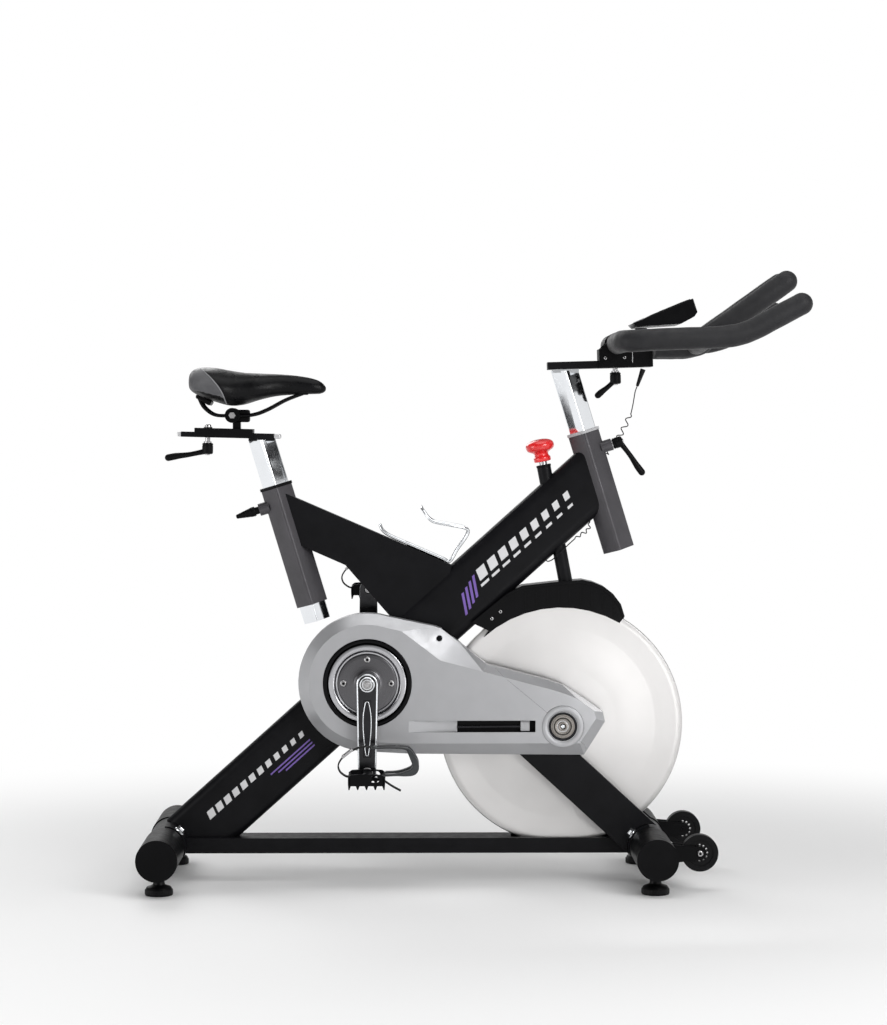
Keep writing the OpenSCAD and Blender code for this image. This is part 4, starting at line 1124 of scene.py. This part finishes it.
def add_carriage_details():
    """The cheek caps and screws of the handlebar carriage, a pale line on each side of it, and the nut on
    the seat stud.
    """
    rail = local(BAR_RAIL, BAR_RAIL_TILT)
    cheek = [(-2, 6), (56, 6), (56, 34), (46, 42), (12, 42), (-2, 28)]
    slab("carriage_cheek_right", cheek, -33.6, -31.6, "black_plastic", "handlebar", 0.8, rail)
    slab("carriage_cheek_left", cheek, 31.6, 33.6, "black_plastic", "handlebar", 0.8, rail)
    for side in (-1, 1):
        for k, (x, z) in enumerate(((10, 12), (48, 12), (48, 30))):
            place = rail @ move(x, side * 33.4, z) @ spun(90 * -side, "X")
            socket_screw(f"cheek_screw_{side + 1}_{k}", place, 3.2, 1.6, "steel", "handlebar")
        slab(f"carriage_line_{side + 1}", rect(63.2, 2, 64.6, 29),
             *sorted((side * 31.8, side * 32.5)), "pale_alloy", "handlebar", 0.2, rail)
    nut = [(0, 0), (8.5, 0), (8.8, 0.8), (8.8, 2.2), (6.6, 2.4), (6.2, 5.6), (4.6, 7.2), (0, 7.8)]
    seat = local(SEAT_RAIL, SEAT_RAIL_TILT) @ move(-40, 0, 13.4)
    lathe("seat_stud_nut", nut, seat, "steel", "seat_carriage", 40)


# ---------------------------------------------------------------- console
def add_console_details():
    """Bezel, dark glass, grey display with plain segments, and a ring round the button."""
    face = local(CONSOLE_FACE, CONSOLE_TILT)
    brick("console_bezel", (88, 122, 1.8), face @ move(15, 0, 0.4), "black_plastic",
          "handlebar", 0.8)
    brick("console_glass", (78, 110, 1.4), face @ move(15, 0, 1.1), "screen_glass", "handlebar", 0.5)
    lcd = face @ move(20, 0, 1.5)
    brick("console_display", (56, 88, 0.9), lcd, "screen_grey", "handlebar", 0.2)
    bars = []
    for row, (x, count, size) in enumerate(((16, 4, 9), (-2, 6, 5), (-18, 6, 5))):
        for k in range(count):
            y = (k - (count - 1) / 2) * 78 / count
            for dx, dy, w, d in (
                (size * 0.9, 0, 1.2, size), (0, 0, 1.2, size), (-size * 0.9, 0, 1.2, size),
                (size * 0.45, size * 0.55, size * 0.75, 1.2),
                (-size * 0.45, -size * 0.55, size * 0.75, 1.2),
            ):
                at = lcd @ move(x + dx, y + dy, 0.5)
                bars.append(brick(f"segment_{row}_{k}_{dx}_{dy}".replace(".", "_"), (w, d, 0.3), at,
                                  "gloss_black", "handlebar", 0))
    joined("console_segments", bars)
    ring = [(9.6, 0), (12.6, 0), (12.4, 1.1), (11.6, 1.6), (10.4, 1.6), (9.6, 1.0)]
    lathe("button_ring", closed(ring), face @ move(-46, 0, 0), "bush_grey", "handlebar", 48)


# ---------------------------------------------------------------- saddle
SADDLE_TAIL = -565
SADDLE_LEN = 273
SADDLE_W = 194
SADDLE = [
    (0, 0.2, 1008, 984), (0.015, 0.6, 1018, 977), (0.05, 0.84, 1025, 970), (0.11, 0.97, 1028, 962),
    (0.2, 1, 1026, 954), (0.3, 0.94, 1020, 947), (0.4, 0.76, 1016, 949), (0.51, 0.51, 1014.5, 958),
    (0.64, 0.34, 1014, 966), (0.78, 0.26, 1011.5, 969), (0.9, 0.23, 1006, 970), (0.965, 0.18, 999, 971),
    (1, 0.09, 989, 976),
]
PANEL_EDGE = [(-539, 1021), (-527, 1012), (-516, 1002), (-506, 991), (-498, 980), (-491, 966),
              (-487, 952)]
SADDLE_ROD = [
    (-335, -8, 974), (-372, -14, 960), (-410, -20, 940), (-440, -22, 930), (-478, -22, 929),
    (-512, -22, 930),
    (-534, -24, 945), (-545, -25, 966),
]


def saddle_rings(shrink):
    """Closed rings from tail to nose: a full crown, and flanks that drop to a flat underside."""
    top = smooth_path([(SADDLE_TAIL + s * SADDLE_LEN, w * SADDLE_W / 2, t) for s, w, t, b in SADDLE], 5)
    low = smooth_path([(SADDLE_TAIL + s * SADDLE_LEN, 0, b) for s, w, t, b in SADDLE], 5)
    rings = []
    for p, q in zip(top, low):
        half, crown, base = max(p.y - shrink, 2.0), p.z - shrink, q.z + shrink * 0.5
        mid = base + 0.4 * (crown - base)
        ring = []
        for k in range(48):
            a = 2 * math.pi * k / 48
            c, s = math.cos(a), math.sin(a)
            y = half * math.copysign(abs(c) ** 0.82, c)
            if s >= 0:
                z = mid + (crown - mid) * s**0.92
            else:
                z = mid - (mid - base) * abs(s) ** 0.62
            ring.append((p.x, y, z))
        rings.append(ring)
    return rings


def cloth_swell(obj, cap):
    """Remeshes a closed form, swells it as stuffed vinyl by simulation, and limits how far it moves."""
    remesh = obj.modifiers.new("remesh", "REMESH")
    remesh.mode = "VOXEL"
    remesh.voxel_size = 0.0045
    graph = bpy.context.evaluated_depsgraph_get()
    obj.data = bpy.data.meshes.new_from_object(obj.evaluated_get(graph))
    obj.modifiers.clear()
    rest = np.array([v.co for v in obj.data.vertices])
    pins = obj.vertex_groups.new(name="pins")
    for v in obj.data.vertices:
        if v.normal.z < -0.55:
            pins.add([v.index], 1.0, "REPLACE")
    cloth = obj.modifiers.new("cloth", "CLOTH")
    cloth.settings.quality = 5
    cloth.settings.mass = 0.25
    cloth.settings.tension_stiffness = 22
    cloth.settings.compression_stiffness = 22
    cloth.settings.shear_stiffness = 9
    cloth.settings.bending_stiffness = 1.2
    cloth.settings.use_pressure = True
    cloth.settings.uniform_pressure_force = 4
    cloth.settings.vertex_group_mass = "pins"
    cloth.settings.effector_weights.gravity = 0
    cloth.point_cache.frame_start = 1
    cloth.point_cache.frame_end = 20
    for step in range(1, 21):
        bpy.context.scene.frame_set(step)
    graph = bpy.context.evaluated_depsgraph_get()
    swollen = bpy.data.meshes.new_from_object(obj.evaluated_get(graph))
    moved = np.array([v.co for v in swollen.vertices])
    obj.modifiers.clear()
    bpy.context.scene.frame_set(1)
    shift = moved - rest
    size = np.linalg.norm(shift, axis=1, keepdims=True)
    shift *= np.minimum(1.0, cap * MM / np.maximum(size, 1e-9))
    for v, p in zip(obj.data.vertices, rest + shift):
        v.co = p
    obj.vertex_groups.clear()


def in_panel(x, y, z):
    """True on the grey side panels behind the piping."""
    edge = np.interp(z, [p[1] for p in reversed(PANEL_EDGE)], [p[0] for p in reversed(PANEL_EDGE)])
    return x < edge and z < 1019.5 and abs(y) > 30


def add_saddle():
    """The padded saddle: black vinyl with grey rear panels, piping on their seams, and a plastic base."""
    rings = saddle_rings(3.0)
    verts = [p for ring in rings for p in ring]
    pad = make("saddle_pad", verts, ring_faces(len(rings), 48), "saddle_vinyl", None)
    fix_normals(pad)
    cloth_swell(pad, 5.0)
    smooth = pad.modifiers.new("finer", "SUBSURF")
    smooth.levels = 1
    smooth.render_levels = 1
    graph = bpy.context.evaluated_depsgraph_get()
    pad.data = bpy.data.meshes.new_from_object(pad.evaluated_get(graph))
    pad.modifiers.clear()
    pad.data.materials.clear()
    for finish in ("saddle_vinyl", "grey_vinyl", "black_plastic"):
        pad.data.materials.append(FINISHES[finish])
    pad.data.shade_smooth()
    for face in pad.data.polygons:
        c = face.center / MM
        if face.normal.z < -0.72:
            face.material_index = 2
        elif in_panel(c.x, c.y, c.z):
            face.material_index = 1
    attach(pad, "saddle")
    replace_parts(pad, "saddle")
    add_piping(pad)
    add_saddle_base()


def add_piping(pad):
    """A cord sewn along the front edge of each side panel, found on the pad's own surface."""
    faces = [tuple(p.vertices) for p in pad.data.polygons]
    tree = BVHTree.FromPolygons([v.co for v in pad.data.vertices], faces)
    edge = smooth_path([(x, 0, z) for x, z in PANEL_EDGE], 5)
    for side in (-1, 1):
        line = []
        for p in edge:
            hit = tree.ray_cast(Vector((p.x, side * 140, p.z)) * MM, Vector((0, -side, 0)))[0]
            if hit is not None:
                line.append(hit / MM)
        tube(f"saddle_piping_{side + 1}", line, 1.25, "piping", "saddle", 10)


def add_saddle_base():
    """Bumper and clamp parts under the saddle."""
    at = move(-531, 0, 959) @ spun(32, "Y")
    brick("saddle_bumper", (26, 70, 11), at, "black_plastic", "saddle", 3.5)
    brick("saddle_bridge_tail", (14, 64, 8), move(-543, 0, 966), "black_plastic", "saddle", 2.5)
    brick("saddle_bridge_nose", (26, 26, 8), move(-340, 0, 974), "black_plastic", "saddle", 2.5)
    rods = []
    for side in (-1, 1):
        path = smooth_path([(x, -side * y, z) for x, y, z in SADDLE_ROD], 6)
        rods.append(tube(f"saddle_rod_{side + 1}", path, 3.5, "gloss_black", "saddle", 16))
        teeth = [
            (4.3, 0), (14.2, 0), (15, 0.9), (15, 11), (14.2, 11.9), (12.6, 12), (11.8, 10.6), (9.4, 10.4),
            (8.8, 11.2), (4.3, 11.2),
        ]
        jaw = facing(SADDLE_PIVOT, side) @ move(0, 0, 16)
        rods.append(lathe(f"saddle_jaw_{side + 1}", closed(teeth), jaw, "black_plastic", "saddle", 24, 20))
    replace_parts(joined("saddle_frame", rods), "saddle_rails")
    for side in (-1, 1):
        place = facing(SADDLE_PIVOT, side) @ move(0, 0, 27.4)
        nut = [(0, 0), (7.6, 0), (7.6, 4.2), (6.6, 5.2), (0, 5.2)]
        lathe(f"saddle_nut_{side + 1}", nut, place, "steel", "seat_carriage", 6)
    thread = [(2.7 + 0.35 * (i % 2), 917 + i * 0.5) for i in range(42)]
    lathe("seat_clamp_bolt", [(0, 917)] + thread + [(0, 938)], move(-452.5, 0, 0), "steel",
          "seat_carriage", 24, 60)
    brick("seat_clamp_foot", (30, 16, 5), move(-461, 0, 919), "black_plastic", "seat_carriage", 1.2)
    brick("seat_clamp_block", (40, 28, 25), move(-464, 0, 928), "black_plastic", "seat_carriage", 4.0)


def add_rail_caps():
    """Pale end caps on the seat rail."""
    rail = local(SEAT_RAIL, SEAT_RAIL_TILT)
    brick("rail_cap_rear", (9, 42, 9.4), rail @ move(-95.5, 0, 0), "pale_alloy", "seat_post", 2.2)
    brick("rail_cap_front", (15, 42, 9.4), rail @ move(98.5, 0, 0), "pale_alloy", "seat_post", 3.2)


# ---------------------------------------------------------------- brake shroud, bottle cage
SHROUD_TOP = [
    (70, 575), (99.5, 590), (171.5, 598), (219.5, 601.5), (240, 597), (262, 588), (280, 574),
    (296, 553), (303.5, 529),
]


def add_shroud_ribs():
    """Ribs, top flange and screws of the flywheel shroud."""
    xs = [p[0] for p in SHROUD_TOP]
    zs = [p[1] for p in SHROUD_TOP]
    parts = []
    for side in (-1, 1):
        y0, y1 = sorted((side * 27.0, side * 30.4))
        for k in range(9):
            x = 106 + 22 * k
            low = AXLE[1] + math.sqrt(240.0**2 - (x - AXLE[0]) ** 2)
            high = float(np.interp(x, xs, zs)) - 4
            parts.append(slab(f"rib_{side + 1}_{k}", rect(x - 1.7, low, x + 1.7, high),
                              y0, y1, "gloss_black", "frame", 0.7))
        flange = SHROUD_TOP + [(x - 3, z - 7) for x, z in reversed(SHROUD_TOP)]
        flange.reverse()
        parts.append(slab(f"flange_{side + 1}", flange, y0 - 0.8, y1 + 0.8, "gloss_black", "frame", 0.9))
    joined("shroud_ribs", parts)
    for side in (-1, 1):
        for k, place in enumerate(((55.8, 538), (38.6, 524))):
            at = facing(place, side) @ move(0, 0, 28)
            socket_screw(f"shroud_screw_{side + 1}_{k}", at, 3.6, 2.0, "steel", "frame")


def arm_top(x):
    """Height of a wire lying on the seat arm, at x."""
    return 765 - 0.432 * (x + 353) + 5.2


CAGE_SIDE = [
    (-184, -9, 710), (-178, -13, arm_top(-178) + 4), (-160, -14, arm_top(-160)),
    (-110, -14, arm_top(-110)),
    (-60, -14, arm_top(-60)), (-45, -15, 638), (-30, -18, 662), (-9, -24, 694), (-16, -31, 705),
    (-45, -38, 711),
    (-80, -38, 719), (-97, -26, 738), (-102, 0, 747),
]


def add_bottle_cage():
    """One bright wire bent into the bottle cage, and the strip that holds it on the arm."""
    path = smooth_path(CAGE_SIDE + mirrored(CAGE_SIDE[:-1]), 8)
    cage = tube("bottle_cage_wire", path, 3.0, "chrome", "frame", 16)
    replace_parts(cage, "bottle_cage")
    lean = -math.degrees(math.atan(0.432))
    place = local((-93, arm_top(-93) - 3.4), lean)
    brick("cage_strip", (82, 16, 5), place, "black_plastic", "frame", 1.4)
    for k, x in enumerate((-28, 28)):
        at = place @ move(x, 0, 2.4)
        socket_screw(f"cage_screw_{k}", at, 4.6, 2.8, "steel", "frame")


# ---------------------------------------------------------------- base
def add_stabilizer_bolts():
    """Hexagon bolts on washers through the curved saddle plates."""
    parts = []
    for y in (-70.5, 70.5):
        for axis, lean in ((REAR_AXIS, 43.5), (FRONT_AXIS, -54)):
            place = Matrix.Translation(spot(axis, y)) @ spun(lean, "Y")
            washer = [(0, 42), (10.6, 42), (11.2, 42.8), (11.2, 44.6), (10.4, 45.4), (0, 45.4)]
            head = [(0, 45), (8.4, 45), (8.4, 51.2), (7.4, 52.4), (0, 52.4)]
            name = f"{int(axis[0] > 0)}_{int(y > 0)}"
            parts.append(lathe("bolt_washer_" + name, washer, place, "chrome", "frame", 40))
            parts.append(lathe("bolt_head_" + name, head, place, "chrome", "frame", 6))
    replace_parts(joined("stabilizer_bolt_heads", parts), "stabilizer_bolts")


def add_feet():
    """Levelling feet: a ribbed rubber rim under a moulded neck."""
    profile = [
        (0, 0), (24, 0), (26.4, 0.8), (27.3, 2.4), (27.5, 4), (27.5, 9.5), (27, 11.6), (25.4, 13),
        (24.4, 15.6),
        (22.6, 17.2), (15, 19.6), (12.4, 21), (11.4, 23.5), (11, 29), (11, 33), (0, 33),
    ]
    for word, axis, side in (
        ("rear_right", REAR_AXIS, -1), ("rear_left", REAR_AXIS, 1),
        ("front_right", FRONT_AXIS, -1), ("front_left", FRONT_AXIS, 1),
    ):
        centre = Vector((axis[0], side * FOOT_Y, 0))
        foot = lathe(f"foot_{word}_moulded", profile, Matrix.Translation(centre), "wheel_black",
                     f"foot_{word}", 144)
        for v in foot.data.vertices:
            p = v.co / MM - centre
            if p.xy.length > 25 and 3 < p.z < 12:
                wave = 0.35 * math.cos(36 * math.atan2(p.y, p.x)) - 0.35
                v.co.x += p.x / p.xy.length * wave * MM
                v.co.y += p.y / p.xy.length * wave * MM
        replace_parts(foot, f"foot_{word}")


def add_wheel_bolts():
    """Axle bolts and hub caps of the transport wheels."""
    for side in (-1, 1):
        place = facing(WHEEL_AXIS, side) @ move(0, 0, WHEEL_Y + 15.2)
        socket_screw(f"wheel_bolt_{side + 1}", place, 6.2, 3.6, "steel", "frame")
        word = "right" if side < 0 else "left"
        hub = facing(WHEEL_AXIS, side) @ move(0, 0, WHEEL_Y + 9)
        ring = [(5, 0), (9.6, 0), (9.6, 1.8), (8.8, 2.4), (5, 2.4)]
        lathe(f"wheel_hub_{word}", closed(ring), hub, "steel", f"transport_wheel_{word}", 40)


# ---------------------------------------------------------------- printed decoration, plain and abstract
# Rows of slanted bars on the beam's side: name, finish, count and slant, then the first bar's start, end,
# foot and top along and across the beam, and how much each of the four changes from bar to bar
PRINT_ROWS = [
    ("bar", "white_print", 9, 0.35, (300, 321, -2, 20), (29, 28, 0.6, -0.4)),
    ("line", "white_print", 9, 0.35, (294, 315, -13, -8), (29, 28, 0, 0)),
    ("low_bar", "white_print", 12, 0.3, (-420, -404, 3, 19), (22, 21.5, 0, -0.5)),
    ("accent", "violet_print", 4, 0.6, (232, 238, -34, 4), (13, 13, 4, 4)),
    ("low_line", "violet_print", 3, 0.3, (-270, -165, -12, -9), (14, 0, -7, -7)),
]


def print_row(side, row):
    """One row of printed bars, each a thin slab on the beam."""
    name, finish, count, slant, first, change = row
    y0, y1 = sorted((side * (BEAM_SIDE - 0.2), side * (BEAM_SIDE + 0.15)))
    bars = []
    for i in range(count):
        s0, s1, low, high = (a + d * i for a, d in zip(first, change))
        shift = slant * (high - low)
        outline = [(s0, low), (s1, low), (s1 + shift, high), (s0 + shift, high)]
        place = local(CRANK, BEAM_ANGLE)
        bars.append(slab(f"{name}_{side + 1}_{i}", outline, y0, y1, finish, "frame", 0, place))
    return bars


def add_decoration():
    """White bars with violet lines under them, on both sides of the beam."""
    for side in (-1, 1):
        for finish in ("white_print", "violet_print"):
            rows = [print_row(side, row) for row in PRINT_ROWS if row[1] == finish]
            joined(f"{finish}_{side + 1}", sum(rows, []))


# ---------------------------------------------------------------- studio
def add_floor():
    """A pale floor that fades into the white of the studio a few metres away."""
    made, tree, shader, coords = nodes_of("studio_floor")
    fill_in(shader, Base_Color=(0.9, 0.9, 0.9, 1), Roughness=0.62)
    bump(tree, shader, noise(tree, coords, 260, 3), 0.05, 0.0004)
    distance = tree.nodes.new("ShaderNodeVectorMath")
    distance.operation = "LENGTH"
    fade = add_node(tree, "ShaderNodeMapRange", From_Min=0.75, From_Max=2.2)
    fade.interpolation_type = "SMOOTHSTEP"
    glow = add_node(tree, "ShaderNodeEmission", Color=(1, 1, 1, 1))
    mix = tree.nodes.new("ShaderNodeMixShader")
    tree.links.new(coords, distance.inputs[0])
    tree.links.new(distance.outputs["Value"], fade.inputs["Value"])
    tree.links.new(fade.outputs["Result"], mix.inputs["Fac"])
    tree.links.new(shader.outputs["BSDF"], mix.inputs[1])
    tree.links.new(glow.outputs["Emission"], mix.inputs[2])
    tree.links.new(mix.outputs["Shader"], tree.nodes["Material Output"].inputs["Surface"])
    mesh = bpy.data.meshes.new("floor")
    mesh.from_pydata([(-40, -40, 0), (40, -40, 0), (40, 40, 0), (-40, 40, 0)], [], [(0, 1, 2, 3)])
    mesh.materials.append(made)
    floor = bpy.data.objects.new("floor", mesh)
    bpy.context.scene.collection.objects.link(floor)


def soft_box(name, place, size, power, aim=(-0.1, 0, 0.6)):
    data = bpy.data.lights.new(name, "AREA")
    data.size = size
    data.energy = power
    lamp = bpy.data.objects.new(name, data)
    lamp.location = place
    lamp.rotation_euler = (Vector(aim) - Vector(place)).to_track_quat("-Z", "Y").to_euler()
    lamp.visible_camera = False
    bpy.context.scene.collection.objects.link(lamp)


# How bright the studio is towards each side, from the rear at 0 to the front at 1, and from the horizon up
SIDE_TONES = [(0.0, 0.65), (0.13, 0.6), (0.17, 0.05), (0.25, 0.05), (0.3, 0.75), (0.38, 0.5),
              (0.48, 0.42),
              (0.58, 0.6), (0.72, 0.85), (0.8, 0.08), (0.88, 0.4), (1.0, 1.2)]
HEIGHT_TONES = [(0.0, 1.0), (0.3, 0.9), (0.45, 0.25), (0.68, 0.25), (0.8, 0.8), (1.0, 0.8)]


def tone_ramp(tree, factor, tones):
    """A brightness that follows a factor from 0 to 1 through listed places."""
    ramp = tree.nodes.new("ShaderNodeValToRGB")
    stops = ramp.color_ramp.elements
    while len(stops) < len(tones):
        stops.new(0.5)
    for stop, (place, tone) in zip(stops, tones):
        stop.position = place
        stop.color = (tone, tone, tone, 1)
    tree.links.new(factor, ramp.inputs["Fac"])
    return ramp.outputs["Color"]


def add_studio():
    """A white studio whose reflections have dark and light bands, as chrome shows them."""
    world = bpy.data.worlds.new("studio")
    world.use_nodes = True
    tree = world.node_tree
    seen = tree.nodes["Background"]
    fill_in(seen, Color=(1, 1, 1, 1))
    lit = add_node(tree, "ShaderNodeBackground", Strength=0.95)
    direction = tree.nodes.new("ShaderNodeSeparateXYZ")
    tree.links.new(tree.nodes.new("ShaderNodeTexCoord").outputs["Generated"], direction.inputs["Vector"])
    across = add_node(tree, "ShaderNodeMapRange", From_Min=-1)
    tree.links.new(direction.outputs["X"], across.inputs["Value"])
    bands = tree.nodes.new("ShaderNodeMix")
    bands.data_type = "RGBA"
    bands.blend_type = "MULTIPLY"
    bands.inputs["Factor"].default_value = 1
    tree.links.new(tone_ramp(tree, across.outputs["Result"], SIDE_TONES), bands.inputs["A"])
    tree.links.new(tone_ramp(tree, direction.outputs["Z"], HEIGHT_TONES), bands.inputs["B"])
    tree.links.new(bands.outputs["Result"], lit.inputs["Color"])
    rays = tree.nodes.new("ShaderNodeLightPath")
    mix = tree.nodes.new("ShaderNodeMixShader")
    tree.links.new(rays.outputs["Is Camera Ray"], mix.inputs["Fac"])
    tree.links.new(lit.outputs["Background"], mix.inputs[1])
    tree.links.new(seen.outputs["Background"], mix.inputs[2])
    tree.links.new(mix.outputs["Shader"], tree.nodes["World Output"].inputs["Surface"])
    bpy.context.scene.world = world


def add_light():
    add_studio()
    bpy.context.scene.view_settings.view_transform = "Standard"
    soft_box("key", (2.0, -2.6, 1.9), 1.5, 55, (0.15, 0, 0.5))
    soft_box("left", (-2.5, -1.3, 0.9), 1.3, 16, (-0.3, 0, 0.5))
    soft_box("back", (-1.6, 3.4, 2.8), 2.4, 55)
    soft_box("wheel_glow", (0.38, -0.8, 0.33), 0.2, 0.45, (0.3, 0, 0.38))
    soft_box("top", (0.2, -0.6, 3.6), 3.0, 44)


dress_cad()
paint_rails()
add_cover()
add_slot_bracket()
add_boss()
add_cover_screw()
add_dish()
add_crank_caps()
add_crank_grooves()
for pedal_side, pedal_word in ((-1, "right"), (1, "left")):
    add_pedal(pedal_side, pedal_word)
    add_toe_cage(pedal_side, pedal_word)
add_flywheel()
add_levers()
add_seat_pin()
add_brake_knob()
add_handlebar()
add_carriage_details()
add_console_details()
add_saddle()
add_rail_caps()
add_shroud_ribs()
add_bottle_cage()
add_stabilizer_bolts()
add_feet()
add_wheel_bolts()
add_decoration()
add_floor()
add_light()
